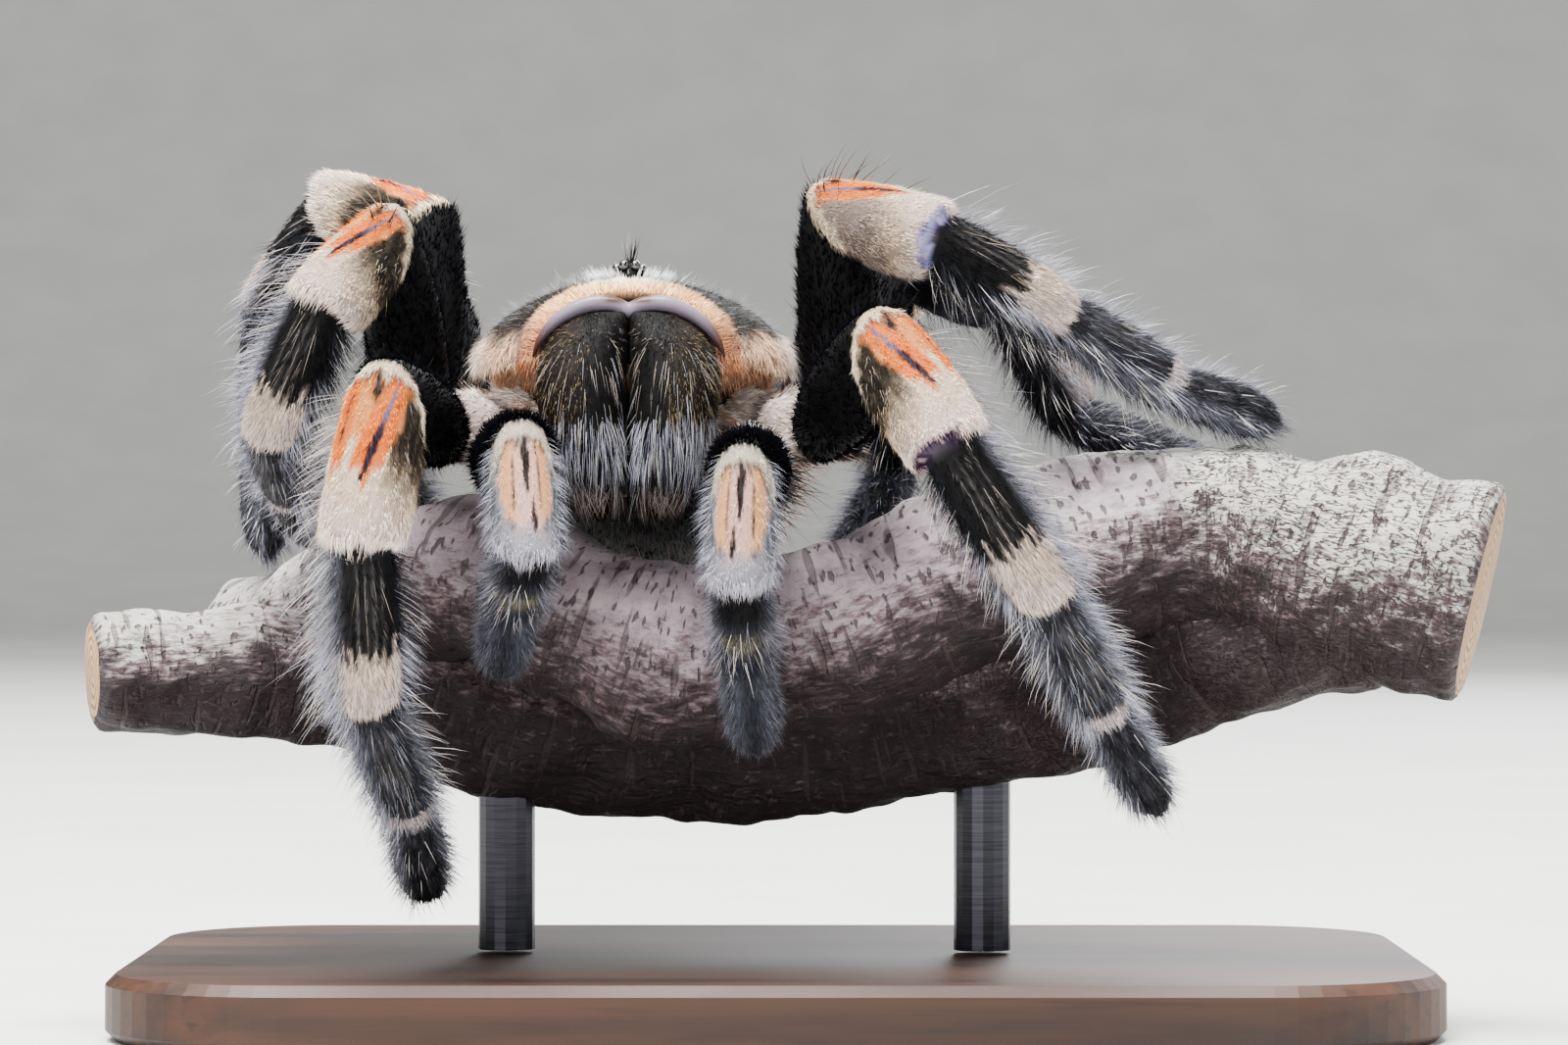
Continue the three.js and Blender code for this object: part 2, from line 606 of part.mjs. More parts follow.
function standBase() {
  const { length, depth, thickness, corner, bevel } = BASE;
  const [x, y, r] = [length / 2 - bevel, depth / 2 - bevel, corner - bevel];
  const outline = new THREE.Shape()
    .moveTo(-x + r, -y)
    .lineTo(x - r, -y)
    .absarc(x - r, -y + r, r, -Math.PI / 2, 0)
    .lineTo(x, y - r)
    .absarc(x - r, y - r, r, 0, Math.PI / 2)
    .lineTo(-x + r, y)
    .absarc(-x + r, y - r, r, Math.PI / 2, Math.PI)
    .lineTo(-x, -y + r)
    .absarc(-x + r, -y + r, r, Math.PI, Math.PI * 1.5);
  const edge = { bevelThickness: bevel, bevelSize: bevel, bevelSegments: 1 };
  const settings = { depth: thickness - 2 * bevel, curveSegments: 6, ...edge };
  return solid(new THREE.ExtrudeGeometry(outline, settings).translate(0, 0, bevel));
}

// ------------------------------------------------------------------------------------------------ assembly
const random = seeded(20);
const coxae = [];
const pieces = [];
for (const sideName of ['left', 'right']) {
  for (const kind of Object.keys(LIMBS)) {
    const { coxa, segments } = limb(kind, sideName, random);
    coxae.push(coxa);
    pieces.push(...segments);
  }
}
pieces.push({ name: 'carapace', core: carapace(), colour: 'carapace' });
pieces.push({ name: 'sternum_and_coxae', core: union([chest(), ...coxae]), colour: 'cream' });
pieces.push({ name: 'eye_tubercle', core: eyeMound(), colour: 'eye', coat: eyeTuft() });
pieces.push({ name: 'abdomen', core: abdomen(), colour: 'black', coat: abdomenCoat(random) });
for (const [name, side] of [['left', 1], ['right', -1]]) {
  pieces.push({ name: `chelicera_${name}`, core: jaw(side), colour: 'jaw', coat: jawCoat(side, random) });
  pieces.push({ name: `fang_${name}`, core: horn(mirrorStations(FANG, side), 7), colour: 'fang' });
}
pieces.push({ name: 'perch_vine', core: vine(), colour: 'bark' });
ROD.places.forEach(([x, y], i) => {
  const core = rodShape(x, y, ROD.radius, BASE.thickness + GAP, ROD.sunk);
  pieces.push({ name: `stand_rod_${i + 1}`, core, colour: 'rod' });
});
for (const piece of pieces) {
  piece.coat ??= [];
  piece.locks = [];
}
growCoat(pieces);

const spiderOnVine = new THREE.Group();
spiderOnVine.position.set(MIDLINE_X, JAW_FRONT_Y, 0);
for (const { name, core, locks, colour } of pieces) {
  spiderOnVine.add(node(name, union([core, ...locks]), colour));
}

const part = new THREE.Group();
part.add(spiderOnVine, node('stand_base', standBase(), 'wood'));
export default part;
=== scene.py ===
# %% [markdown]
# # A redknee tarantula on a length of vine
#
# This file dresses a display model of a redknee tarantula. The solids already hold the pose and the
# sizes. What is missing is what makes the animal: the hair. A redknee is black velvet, with knees of
# orange and cream hair, shins that end in a cream cuff, and long pale bristles over everything.
#
# Hair could be a particle system, curves, or plain mesh. Curves render well but they are lost when the
# model is exported, so here each tuft is a small closed spike of mesh, and thousands of them are joined
# into a few pieces.

# %% Load the solids
import math
from functools import partial

import bmesh
import bpy
import numpy as np
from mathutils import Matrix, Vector


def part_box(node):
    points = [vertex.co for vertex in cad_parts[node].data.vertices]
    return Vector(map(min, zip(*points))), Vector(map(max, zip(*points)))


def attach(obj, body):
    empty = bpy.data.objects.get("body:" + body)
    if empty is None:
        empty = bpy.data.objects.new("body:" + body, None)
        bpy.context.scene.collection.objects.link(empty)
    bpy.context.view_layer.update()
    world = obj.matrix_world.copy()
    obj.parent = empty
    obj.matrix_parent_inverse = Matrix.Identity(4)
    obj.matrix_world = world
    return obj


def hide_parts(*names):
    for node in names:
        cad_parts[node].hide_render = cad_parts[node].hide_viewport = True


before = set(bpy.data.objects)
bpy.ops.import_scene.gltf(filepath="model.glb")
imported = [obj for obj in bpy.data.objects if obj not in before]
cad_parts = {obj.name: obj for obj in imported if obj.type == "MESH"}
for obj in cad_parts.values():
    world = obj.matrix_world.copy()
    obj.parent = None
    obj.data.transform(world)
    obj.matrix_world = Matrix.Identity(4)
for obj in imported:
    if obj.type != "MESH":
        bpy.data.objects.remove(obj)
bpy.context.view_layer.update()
MM = 0.001

# %% [markdown]
# ## Where the spider stands
#
# Everything on the animal is laid out in millimetres in the spider's own frame: X from its midline, Y
# back from the front of its jaws, Z from the floor. It faces -Y, and its left side is +X. One function
# turns these into metres on the stand.

# %% The spider's frame
MIDLINE_X = -11.0
JAW_FRONT_Y = -22.0


def placed(points):
    """Metres in the model's frame, from millimetres in the spider's."""
    return (np.asarray(points, float) + (MIDLINE_X, JAW_FRONT_Y, 0.0)) * MM


jaw_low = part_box("chelicera_left")[0]
print(f"the left jaw's inner edge stands {jaw_low.x / MM - MIDLINE_X:.2f} mm from the midline")

# %% [markdown]
# ## The camera
#
# A close portrait of a spider is taken with a long lens from its own level. The camera looks along +Y,
# level with the jaws' lower edge, and the long lens keeps the near legs from looking too large.

# %% Camera
FILM_WIDTH, LENS = 36, 130.4  # in millimetres
CAMERA_PLACE = (0.0006, -0.442, 0.0385)  # in metres


def linked(name, data):
    """A new object in the scene."""
    made = bpy.data.objects.new(name, data)
    bpy.context.scene.collection.objects.link(made)
    return made


camera = linked("camera", bpy.data.cameras.new("camera"))
camera.data.sensor_width = FILM_WIDTH
camera.data.lens = LENS
camera.data.clip_start = 10 * MM
camera.location = CAMERA_PLACE
camera.rotation_euler = (math.radians(90), 0, 0)
bpy.context.scene.camera = camera
print(f"camera {-camera.location.y / MM:.0f} mm in front of the stand's middle")

# %% [markdown]
# ## Floor, backdrop and light
#
# The floor runs back and curves up into the backdrop, so that no line shows behind the model. It is a
# strip of a few points, extruded sideways. The light is what a small product table has: a large soft
# box overhead, a weaker one in front, a weak one at the side, and one behind that draws the pale edge
# round the hair.

# %% Stage and lights
SOFT_BOXES = {  # place and width in metres, power in watts, colour
    "top_box": ((-0.12, -0.16, 0.8), 0.55, 54.0, (1.0, 0.98, 0.96)),
    "front_box": ((-0.3, -0.8, 0.35), 0.5, 7.0, (1.0, 1.0, 1.0)),
    "side_box": ((0.8, -0.2, 0.35), 0.5, 4.0, (0.92, 0.96, 1.0)),
    "rim_box": ((0.25, 0.7, 0.5), 0.5, 9.0, (0.95, 0.98, 1.0)),
}
SPIDER_PLACE = Vector((0, 0, 0.04))
ROOM_COLOUR, ROOM_STRENGTH = (0.86, 0.88, 0.9, 1), 0.42


def mesh_object(name, bm):
    """A smooth mesh object from a bmesh."""
    mesh = bpy.data.meshes.new(name)
    bm.to_mesh(mesh)
    bm.free()
    mesh.shade_smooth()
    return linked(name, mesh)


def sweep_floor(width=5.0, front=-3.0, back=1.6, bend=0.7, height=3.0):
    """The strip of floor and backdrop, bent by a quarter of a circle."""
    bm = bmesh.new()
    turns = [math.radians(a) for a in range(0, 91, 6)]
    side = [(front, 0.0)]
    side += [(back + bend * math.sin(a), bend * (1 - math.cos(a))) for a in turns]
    side.append((back + bend, height))
    corners = [bm.verts.new((-width / 2, y, z)) for y, z in side]
    edges = [bm.edges.new(pair) for pair in zip(corners, corners[1:])]
    made = bmesh.ops.extrude_edge_only(bm, edges=edges)["geom"]
    moved = [g for g in made if isinstance(g, bmesh.types.BMVert)]
    bmesh.ops.translate(bm, verts=moved, vec=(width, 0, 0))
    bmesh.ops.recalc_face_normals(bm, faces=bm.faces)
    return mesh_object("backdrop", bm)


def soft_box(name, place, size, power, colour):
    """A square area light that faces the spider."""
    light = bpy.data.lights.new(name, "AREA")
    light.size, light.energy, light.color = size, power, colour
    lamp = linked(name, light)
    lamp.location = place
    towards = SPIDER_PLACE - Vector(place)
    lamp.rotation_euler = towards.to_track_quat("-Z", "Y").to_euler()


backdrop = sweep_floor()
for name, (place, size, power, colour) in SOFT_BOXES.items():
    soft_box(name, place, size, power, colour)
world = bpy.data.worlds.new("studio")
world.use_nodes = True
room = world.node_tree.nodes["Background"]
room.inputs["Color"].default_value = ROOM_COLOUR
room.inputs["Strength"].default_value = ROOM_STRENGTH
bpy.context.scene.world = world
print(f"a backdrop of {len(backdrop.data.polygons)} faces and {len(SOFT_BOXES)} soft boxes")

# %% [markdown]
# ## A short way to write materials
#
# A material's nodes are arithmetic. With one class that wraps a socket and overloads the operators, a
# mask is written as it is thought of, such as `cracks * (1 - moss)`. A second class holds the material
# and makes every other node by one method.


# %% Material helpers
class Value:
    """A number in a material. Arithmetic on it adds the Math nodes that work it out."""

    def __init__(self, finish, socket):
        self.finish, self.socket = finish, socket

    def math(self, operation, *terms):
        """A Math node on this value and more terms."""
        inputs = dict(enumerate(terms or [self]))
        return self.finish.node("ShaderNodeMath", {"operation": operation}, inputs)

    def __add__(self, other):
        return self.math("ADD", self, other)

    def __sub__(self, other):
        return self.math("SUBTRACT", self, other)

    def __rsub__(self, other):
        return self.math("SUBTRACT", other, self)

    def __mul__(self, other):
        return self.math("MULTIPLY", self, other)

    __radd__ = __add__
    __rmul__ = __mul__

    def between(self, low, high):
        """A soft step from 0 at low to 1 at high."""
        settings = {"interpolation_type": "SMOOTHSTEP"}
        inputs = {"Value": self, "From Min": low, "From Max": high}
        return self.finish.node("ShaderNodeMapRange", settings, inputs)


COLOUR_A, COLOUR_B, COLOUR_OUT = 6, 7, 2  # a Mix node has a set of sockets for each kind of value


class Finish:
    """A material on one Principled shader. Constants are set on the shader's own sockets."""

    def __init__(self, name, **constants):
        self.material = bpy.data.materials.new(name)
        self.material.use_nodes = True
        self.tree = self.material.node_tree
        self.shader = self.tree.nodes["Principled BSDF"]
        for socket, value in constants.items():
            self.shader.inputs[socket.replace("_", " ")].default_value = value

    def node(self, kind, settings=None, inputs=None, output=0):
        """Any node: its type, its settings, and the values or links of its sockets."""
        made = self.tree.nodes.new(kind)
        for setting, value in (settings or {}).items():
            setattr(made, setting, value)
        for socket, value in (inputs or {}).items():
            self.feed(made.inputs[socket], value)
        return Value(self, made.outputs[output])

    def feed(self, socket, value):
        """Links a Value to a socket, or sets a plain number or colour on it."""
        if isinstance(value, Value):
            self.tree.links.new(value.socket, socket)
        else:
            socket.default_value = value

    def attribute(self, name, output="Color"):
        """A colour or number that is stored on the mesh."""
        return self.node("ShaderNodeAttribute", {"attribute_name": name}, output=output)

    def mix(self, share, first, second):
        """One colour turned into another by a share from 0 to 1."""
        inputs = {"Factor": share, COLOUR_A: first, COLOUR_B: second}
        return self.node("ShaderNodeMix", {"data_type": "RGBA"}, inputs, output=COLOUR_OUT)

    def noise(self, place, scale, detail=3.0, roughness=0.55):
        """Soft noise at a place."""
        inputs = {"Vector": place, "Scale": scale, "Detail": detail, "Roughness": roughness}
        return self.node("ShaderNodeTexNoise", None, inputs)

    def object_place(self):
        """The place on the model, in metres."""
        return self.node("ShaderNodeTexCoord", output="Object")

    def stretched(self, place, *scale):
        """A place in other units along each axis, so that a pattern on it is stretched."""
        return self.node("ShaderNodeMapping", None, {"Vector": place, "Scale": scale})

    def bump(self, height, distance, strength):
        """Raises the surface by a height in the shading only."""
        inputs = {"Height": height, "Distance": distance, "Strength": strength}
        self.feed(self.shader.inputs["Normal"], self.node("ShaderNodeBump", None, inputs))

    def paint(self, **channels):
        """Feeds the shader's channels."""
        for socket, value in channels.items():
            self.feed(self.shader.inputs[socket.replace("_", " ")], value)
        return self.material


print("a Value can be added, subtracted, multiplied, and turned into a step")


# %% Colours from a paint card
def rgb(red, green, blue):
    """A linear colour from the numbers on a paint card, each 0 to 255."""
    card = np.array([red, green, blue]) / 255
    return np.where(card <= 0.04045, card / 12.92, ((card + 0.055) / 1.055) ** 2.4)


def rgba(red, green, blue):
    """The same, with full cover, as a shader's colour socket takes it."""
    return (*rgb(red, green, blue), 1.0)


print(f"a paint card's middle grey, 128, is {rgb(128, 128, 128)[0]:.3f} in linear light")

# %% [markdown]
# ## Smooth lines and soft noise
#
# A fang, a vine strand and every outline are drawn as a line through a few points. A Bezier curve would
# need handles at each of them. A Catmull-Rom curve passes through its points without any, and is spaced
# here so that it doesn't overshoot where they are close. Blender's own noise is asked for one point at
# a time. A sum of sine waves in random directions is as smooth, takes a hundred thousand points at
# once, and is the same on every run.


# %% Curves and noise
def curve(points, s):
    """Points at s from 0 to 1 on a smooth line through the given points."""
    points = np.asarray(points, float)
    padded = np.vstack([2 * points[0] - points[1], points, 2 * points[-1] - points[-2]])
    place = np.clip(s, 0, 1) * (len(points) - 1)
    i = np.minimum(place.astype(int), len(points) - 2)
    w = (place - i)[:, None]
    p0, p1, p2, p3 = (padded[i + k] for k in range(4))
    gaps = [np.linalg.norm(b - a, axis=1, keepdims=True) ** 0.5 + 1e-6 for a, b in
            ((p0, p1), (p1, p2), (p2, p3))]
    leave = (p1 - p0) / gaps[0] - (p2 - p0) / (gaps[0] + gaps[1]) + (p2 - p1) / gaps[1]
    reach = (p2 - p1) / gaps[1] - (p3 - p1) / (gaps[1] + gaps[2]) + (p3 - p2) / gaps[2]
    leave, reach = leave * gaps[1], reach * gaps[1]
    return p1 + leave * w + (3 * (p2 - p1) - 2 * leave - reach) * w**2 + (
        2 * (p1 - p2) + leave + reach) * w**3


def profile(knots, steps=24):
    """A smooth value at x, read from [x, value] knots, worked out at some steps to each knot."""
    dense = curve(knots, np.linspace(0, 1, steps * len(knots)))
    return lambda x: np.interp(x, dense[:, 0], dense[:, 1])


def ripple(points, wavelength, seed, waves=14):
    """Soft noise of about -1 to 1 at points, with lumps of about that wavelength."""
    random = np.random.default_rng(seed)
    directions = random.normal(size=(waves, points.shape[-1]))
    directions *= (2 * math.pi / wavelength) / np.linalg.norm(directions, axis=1, keepdims=True)
    directions *= random.uniform(0.6, 1.5, (waves, 1))
    phases = random.uniform(0, 2 * math.pi, waves)
    return np.sin(points @ directions.T + phases).sum(axis=-1) / math.sqrt(waves)


def unit(vectors):
    """Vectors of length 1."""
    vectors = np.asarray(vectors, float)
    return vectors / np.maximum(np.linalg.norm(vectors, axis=-1, keepdims=True), 1e-12)


def soft_step(x, low, high):
    """From 0 at low to 1 at high, with soft ends."""
    w = np.clip((x - low) / (high - low), 0, 1)
    return w * w * (3 - 2 * w)


def dot(a, b):
    """The dot product of each pair, kept as a column."""
    return (a * b).sum(axis=-1, keepdims=True)


print("the middle of a curve over a corner:", curve([[0, 0, 0], [1, 1, 0], [2, 0, 0]], np.array([0.5]))[0])

# %% [markdown]
# ## Patches of skin
#
# The skin and its coat both need to know where the surface is, which way it faces and which way the
# hair lies. A patch is a function point(u, v): u runs along the lie of the hair and v once round. The
# directions come from small differences, so any smooth function will do, and the skin's mesh and the
# coat's roots can't come apart.


# %% The patch class
class Patch:
    """A stretch of skin: point(u, v) in the spider's millimetres, and paint(u, v, points)."""

    def __init__(self, point, paint, rows, columns, crowding=0.0, **facts):
        self.point, self.paint, self.facts = point, paint, facts
        self.rows, self.columns, self.crowding = rows, columns, crowding
        self.turn = 1.0
        v = np.linspace(0.02, 0.98, 25)
        points, outward, _, _ = self.at(np.full(len(v), 0.5), v)
        if dot(outward, points - points.mean(axis=0)).mean() < 0:
            self.turn = -1.0

    def at(self, u, v):
        """Point, outward direction, direction along u, and area of a unit of (u, v)."""
        step = 1e-3
        inner = np.clip(u, step, 1 - step)
        along = (self.point(inner + step, v) - self.point(inner - step, v)) / (2 * step)
        around = (self.point(inner, v + step) - self.point(inner, v - step)) / (2 * step)
        normal = np.cross(along, around) * self.turn
        area = np.linalg.norm(normal, axis=1)
        return self.point(u, v), unit(normal), unit(along), area


sheet = Patch(lambda u, v: np.stack([2 * u, 3 * v, 0 * u], axis=1), None, 1, 1)
print(f"a sheet of 2 by 3 mm measures {sheet.at(np.array([0.5]), np.array([0.5]))[3][0]:.2f} square mm")

# %% [markdown]
# ## The limbs
#
# A spider's leg has seven parts. The coxa is under the body, the trochanter is too short to see, and
# then come femur, patella (the knee), tibia (the shin), metatarsus and tarsus. The palps beside the
# jaws have no metatarsus. Tubes pushed into one another would show a step at every joint. Here the
# tubes meet on the plane that halves the bend, so that the skin runs on without a seam. The dorsal
# line is the outside of the leg's arch. The markings are placed from it.

# %% Limb sizes and pose
PALP = ["coxa", "femur", "patella", "tibia", "tarsus"]
LEG = ["coxa", "femur", "patella", "tibia", "metatarsus", "tarsus"]
LIMBS = {  # segment lengths and widest radii from the femur out, and the radius at each joint
    "palp": ([13.5, 8.5, 9.5, 8.5], [3.0, 2.9, 2.5, 2.5], [2.1, 2.5, 2.1, 1.9]),
    "leg1": ([18.5, 11.5, 13.5, 12, 8.5], [3.5, 3.75, 2.95, 2.6, 2.4], [2.4, 2.9, 2.6, 2.2, 1.9]),
    "leg2": ([16.5, 10, 11.5, 11, 8.3], [3.4, 3.55, 2.85, 2.5, 2.3], [2.4, 2.8, 2.5, 2.1, 1.9]),
    "leg3": ([15.5, 9.5, 11, 13, 8.5], [3.3, 3.4, 2.75, 2.4, 2.2], [2.4, 2.8, 2.4, 2.1, 1.8]),
    "leg4": ([17.9, 10, 13.7, 17, 9], [3.5, 3.6, 2.95, 2.5, 2.3], [2.4, 2.9, 2.5, 2.1, 1.9]),
}
HIPS = {  # where the coxa starts under the shield, and the hip, on the left side
    "palp": ([4.5, 10, 46.3], [9.4, 5.6, 42.8]),
    "leg1": ([5, 13, 46.8], [13.9, 8.6, 45.2]),
    "leg2": ([5, 16, 46.8], [15.5, 14.4, 45.8]),
    "leg3": ([5, 19, 46.8], [16.1, 20.9, 45.8]),
    "leg4": ([5, 22, 46.8], [13, 27, 45.6]),
}
POSE = {  # each segment's heading in plan, from straight ahead towards its own side, and its rise
    "left": {
        "palp": [(-3, -3), (-5, -69), (177, -37), (172, -54)],
        "leg1": [(16, 19), (33, -40), (120, -53), (144, -48), (124, -55)],
        "leg2": [(2, 70), (49, -11), (111, -29), (115, -28), (95, -19)],
        "leg3": [(150, 60), (90, -18), (100, -59), (60, -22), (60, -55)],
        "leg4": [(155, 49), (165, -18), (173, -80), (-23, -40), (-12, -38)],
    },
    "right": {
        "palp": [(-8, 4), (-8, -58), (170, -25), (170, -36)],
        "leg1": [(10, 7), (18, -65), (180, -59), (198, -46), (189, -49)],
        "leg2": [(17, 54), (28, -30), (145, -50), (185, -25), (190, -24)],
        "leg3": [(172, 83), (124, 12), (136, -42), (0, -70), (-13, -66)],
        "leg4": [(155, 49), (165, -18), (180, -86), (-20, -37), (-5, -36)],
    },
}
SECTIONS = {  # share of the segment's length, and of its widest radius
    "coxa": [(0.25, 0.98), (0.5, 1), (0.66, 0.86), (0.82, 1)],
    "femur": [(0.18, 0.86), (0.5, 1), (0.84, 0.95)],
    "patella": [(0.16, 0.92), (0.52, 1), (0.88, 0.98)],
    "tibia": [(0.14, 0.93), (0.55, 1), (0.88, 0.95)],
    "metatarsus": [(0.14, 0.95), (0.5, 1), (0.88, 0.94)],
    "tarsus": [(0.16, 0.96), (0.5, 1), (0.8, 0.86), (0.95, 0.5)],
}
SECTION_HEIGHT, SECTION_WIDTH = 1.05, 0.98
COAT_DEPTH = 0.42  # how far the skin lies inside the solid's surface
COXA_START, COXA_SWELL, TIP_RADIUS = 2.0, 1.12, 0.6
print(f"{len(LIMBS) * 2} limbs, {sum(len(LIMBS[k][0]) for k in LIMBS) * 2} segments")


# %% Limb frames
def heading(azimuth, rise, side):
    """The direction of a segment."""
    a, e = math.radians(azimuth), math.radians(rise)
    return Vector((side * math.sin(a) * math.cos(e), -math.cos(a) * math.cos(e), math.sin(e)))


def limb_frame(kind, side_name):
    """Joints, axes, dorsal directions and the planes that halve the bends, coxa first."""
    side = 1 if side_name == "left" else -1
    start, hip = (Vector((side * x, y, z)) for x, y, z in HIPS[kind])
    axes, joints = [(hip - start).normalized()], [start, hip]
    for angles, length in zip(POSE[side_name][kind], LIMBS[kind][0]):
        axes.append(heading(*angles, side))
        joints.append(joints[-1] + axes[-1] * length)
    dorsal = [None] * len(axes)
    dorsal[2] = (axes[1] - axes[2] * axes[1].dot(axes[2])).normalized()
    for source, target in [(2, 1), (1, 0)] + [(i - 1, i) for i in range(3, len(axes))]:
        dorsal[target] = axes[source].rotation_difference(axes[target]) @ dorsal[source]
    planes = [axes[0]] + [(a + b).normalized() for a, b in zip(axes, axes[1:])] + [axes[-1]]
    return tuple(np.array([v[:] for v in group]) for group in (joints, axes, dorsal, planes))


def segment_radius(kind, i, name):
    """The skin's radius along a segment, from 0 at its near joint to 1 at its far one."""
    _, radii, joints = LIMBS[kind]
    if name == "coxa":
        start, end, widest = COXA_START, joints[0], joints[0] * COXA_SWELL
    else:
        start, widest = joints[i - 1], radii[i - 1]
        end = joints[i] if i < len(joints) else TIP_RADIUS
    knots = [(0, start)] + [(share, size * widest) for share, size in SECTIONS[name]] + [(1, end)]
    radius = profile(knots)
    return lambda t: radius(t) - COAT_DEPTH


def segment_point(frame_of_limb, i, radius, side):
    """The patch function of one segment. v starts at the dorsal line and turns to the outer side."""
    joints, axes, dorsal, planes = frame_of_limb
    axis, up = axes[i], dorsal[i]
    outer = np.cross(axis, up) * -side
    length = np.linalg.norm(joints[i + 1] - joints[i])

    def point(u, v):
        angle, r = v * 2 * math.pi, radius(u)
        offset = up * (np.cos(angle) * r * SECTION_HEIGHT)[:, None]
        offset = offset + outer * (np.sin(angle) * r * SECTION_WIDTH)[:, None]
        near = -(offset @ planes[i]) / (axis @ planes[i])
        far = length - (offset @ planes[i + 1]) / (axis @ planes[i + 1])
        return joints[i] + offset + axis * (near + (far - near) * u)[:, None]

    return point


print("limb frames ready; a knee bends", round(math.degrees(
    Vector(limb_frame("leg2", "left")[1][1]).angle(Vector(limb_frame("leg2", "left")[1][2])))), "degrees")

# %% [markdown]
# ## The markings
#
# The pattern is what names this species. Each knee has a cream cap, then a field of orange flames
# round two bald streaks, then a cream skirt. The streaks really are bald: the purple-black cuticle
# shows through. An image or a web of nodes could colour the skin, but not the hair that grows on it.
# Functions in plain Python colour both, so that they agree. Each takes the place t along the segment
# and the angle a from the dorsal line in degrees, positive towards the outer side, and gives a colour
# and how bare the skin is.

# %% Paint cards
VELVET = rgb(3, 3, 5)
INK = rgb(7, 7, 10)
SLATE = rgb(41, 45, 57)
SMOKE = rgb(118, 119, 130)
FROST = rgb(214, 220, 232)
ASH = rgb(156, 150, 148)
STREAK = rgb(30, 12, 36)
# painted sheen: the lavender at the upper end of a knee's main bald streak, where its glossy cuticle catches
# the light
LAVENDER_SHEEN = rgb(122, 112, 140)
OLIVE = rgb(44, 37, 28)
TAN = rgb(206, 164, 124)
SAND = rgb(232, 206, 178)
CREAM = rgb(250, 224, 192)
SHELL_PINK = rgb(243, 220, 210)
APRICOT = rgb(255, 164, 92)
PEACH = rgb(252, 150, 70)
ORANGE = rgb(255, 116, 0)
LILAC = rgb(116, 105, 119)
UMBER = rgb(66, 40, 32)
print(f"orange is {ORANGE.round(2)} in linear light")


# %% Helpers for markings
def blend(first, second, share):
    """Colours turned into others by a share for each."""
    return first + (second - first) * np.asarray(share)[:, None]


def flat(colour, count):
    """One colour for a number of places."""
    return np.tile(colour, (count, 1))


def hump(x, middle, width):
    """1 at the middle, falling softly to 0 over the width on both sides."""
    return np.exp(-(((x - middle) / width) ** 2))


def spindle(t, a, start, end, half_width, fullest=0.7):
    """How much a place lies on a long spindle between two (place, angle) ends."""
    w = np.clip((t - start[0]) / (end[0] - start[0]), 0, 1)
    inside = (t > start[0]) & (t < end[0])
    swell = np.where(w < fullest, 0.35 + 0.65 * w / fullest, np.sqrt(np.clip((1 - w) / (1 - fullest), 0, 1)))
    width = half_width * swell + 1e-6
    return inside * (1 - soft_step(np.abs(a - start[1] - (end[1] - start[1]) * w), width * 0.75, width))


def strands(t, a, seed, fine=3.0):
    """Fine streaks that run along a limb, from 0 to 1."""
    return soft_step(ripple(np.stack([t * 9, a / fine], 1), 2.2, seed), -0.6, 0.9)


def ragged_by(depth, t, a, seed):
    """How far an edge across a limb strays from a straight line, as the hair makes it."""
    return depth * ripple(np.stack([t * 12, a / 5], 1), 2.6, seed)


CREASE_ANGLE, CREASE_WIDTH = -68, 36  # where a knee's bare fold lies, on the inner side


def crescent(t, a, reach):
    """The bare fold at a knee's far end: a crescent on the inner side."""
    edge = 1 - reach * hump(a, CREASE_ANGLE, CREASE_WIDTH)
    return soft_step(t, edge - 0.008, edge + 0.008) * (np.abs(a - CREASE_ANGLE) < 62) * (reach > 0)


KNEES = {  # knees whose bare fold opens wide, and one whose inner flank is paler than the rest
    ("leg1", "left"): dict(reach=0.06, fold_colour=STREAK * 1.6),
    ("leg2", "left"): dict(reach=0.1, fold_colour=rgb(116, 114, 156), dusk=0.45),
}
print("a spindle's middle:", spindle(np.array([0.5]), np.array([0.0]), (0.1, 0), (0.9, 0), 5.0))


# %% Parts of the knee's pattern
def main_line(t):
    """The angle of the main streak's line, and how far down its course from cap to skirt a place is."""
    share = np.clip((t - 0.1) / 0.56, 0, 1)
    return -33 + 31 * share, share


def flame_field(t, a, ragged):
    """Two orange flames on an apricot ground, which run out into the cream and pink skirt."""
    line, share = main_line(t)
    flames = np.maximum(
        1 - soft_step(np.abs(a - line), 12 + 8 * share, 18 + 9 * share),
        1 - soft_step(np.abs(a - 36 - 10 * share), 9 + 4 * share, 15 + 5 * share),
    )
    ground = blend(flat(APRICOT, len(t)), PEACH, strands(t, a, 11))
    colour = blend(ground, ORANGE, flames * (0.82 + 0.18 * strands(t, a, 12)))
    flame_end = 0.44 + 0.14 * flames + 0.1 * hump(a, line, 9) + ragged
    colour = blend(colour, CREAM, soft_step(t, flame_end, flame_end + 0.07))
    colour = blend(colour, SHELL_PINK, soft_step(t, 0.62, 0.96))
    return blend(colour, colour * SAND, 0.4 * strands(t, a, 13) * soft_step(t, 0.5, 0.6))


def with_flanks(colour, t, a, ragged, dusk):
    """Adds the olive inner flank, the smoky outer one and the dark underside."""
    line, share = main_line(t)
    inner_edge = line - 15 - 6 * share + 160 * ragged
    inner = soft_step(inner_edge - a, 0, 9)
    flank = blend(flat(OLIVE * 0.4, len(t)), rgb(88, 77, 61), 0.5 * strands(t, a, 14, 4.5))
    flank = flank * dusk + rgb(190, 168, 156) * (1 - dusk)
    colour = blend(colour, flank, inner * (1 - soft_step(t + ragged, 0.5, 0.86)))
    colour = blend(colour, SMOKE, soft_step(a, 82, 104))
    return blend(colour, SLATE, soft_step(np.abs(a + 10), 120, 150))


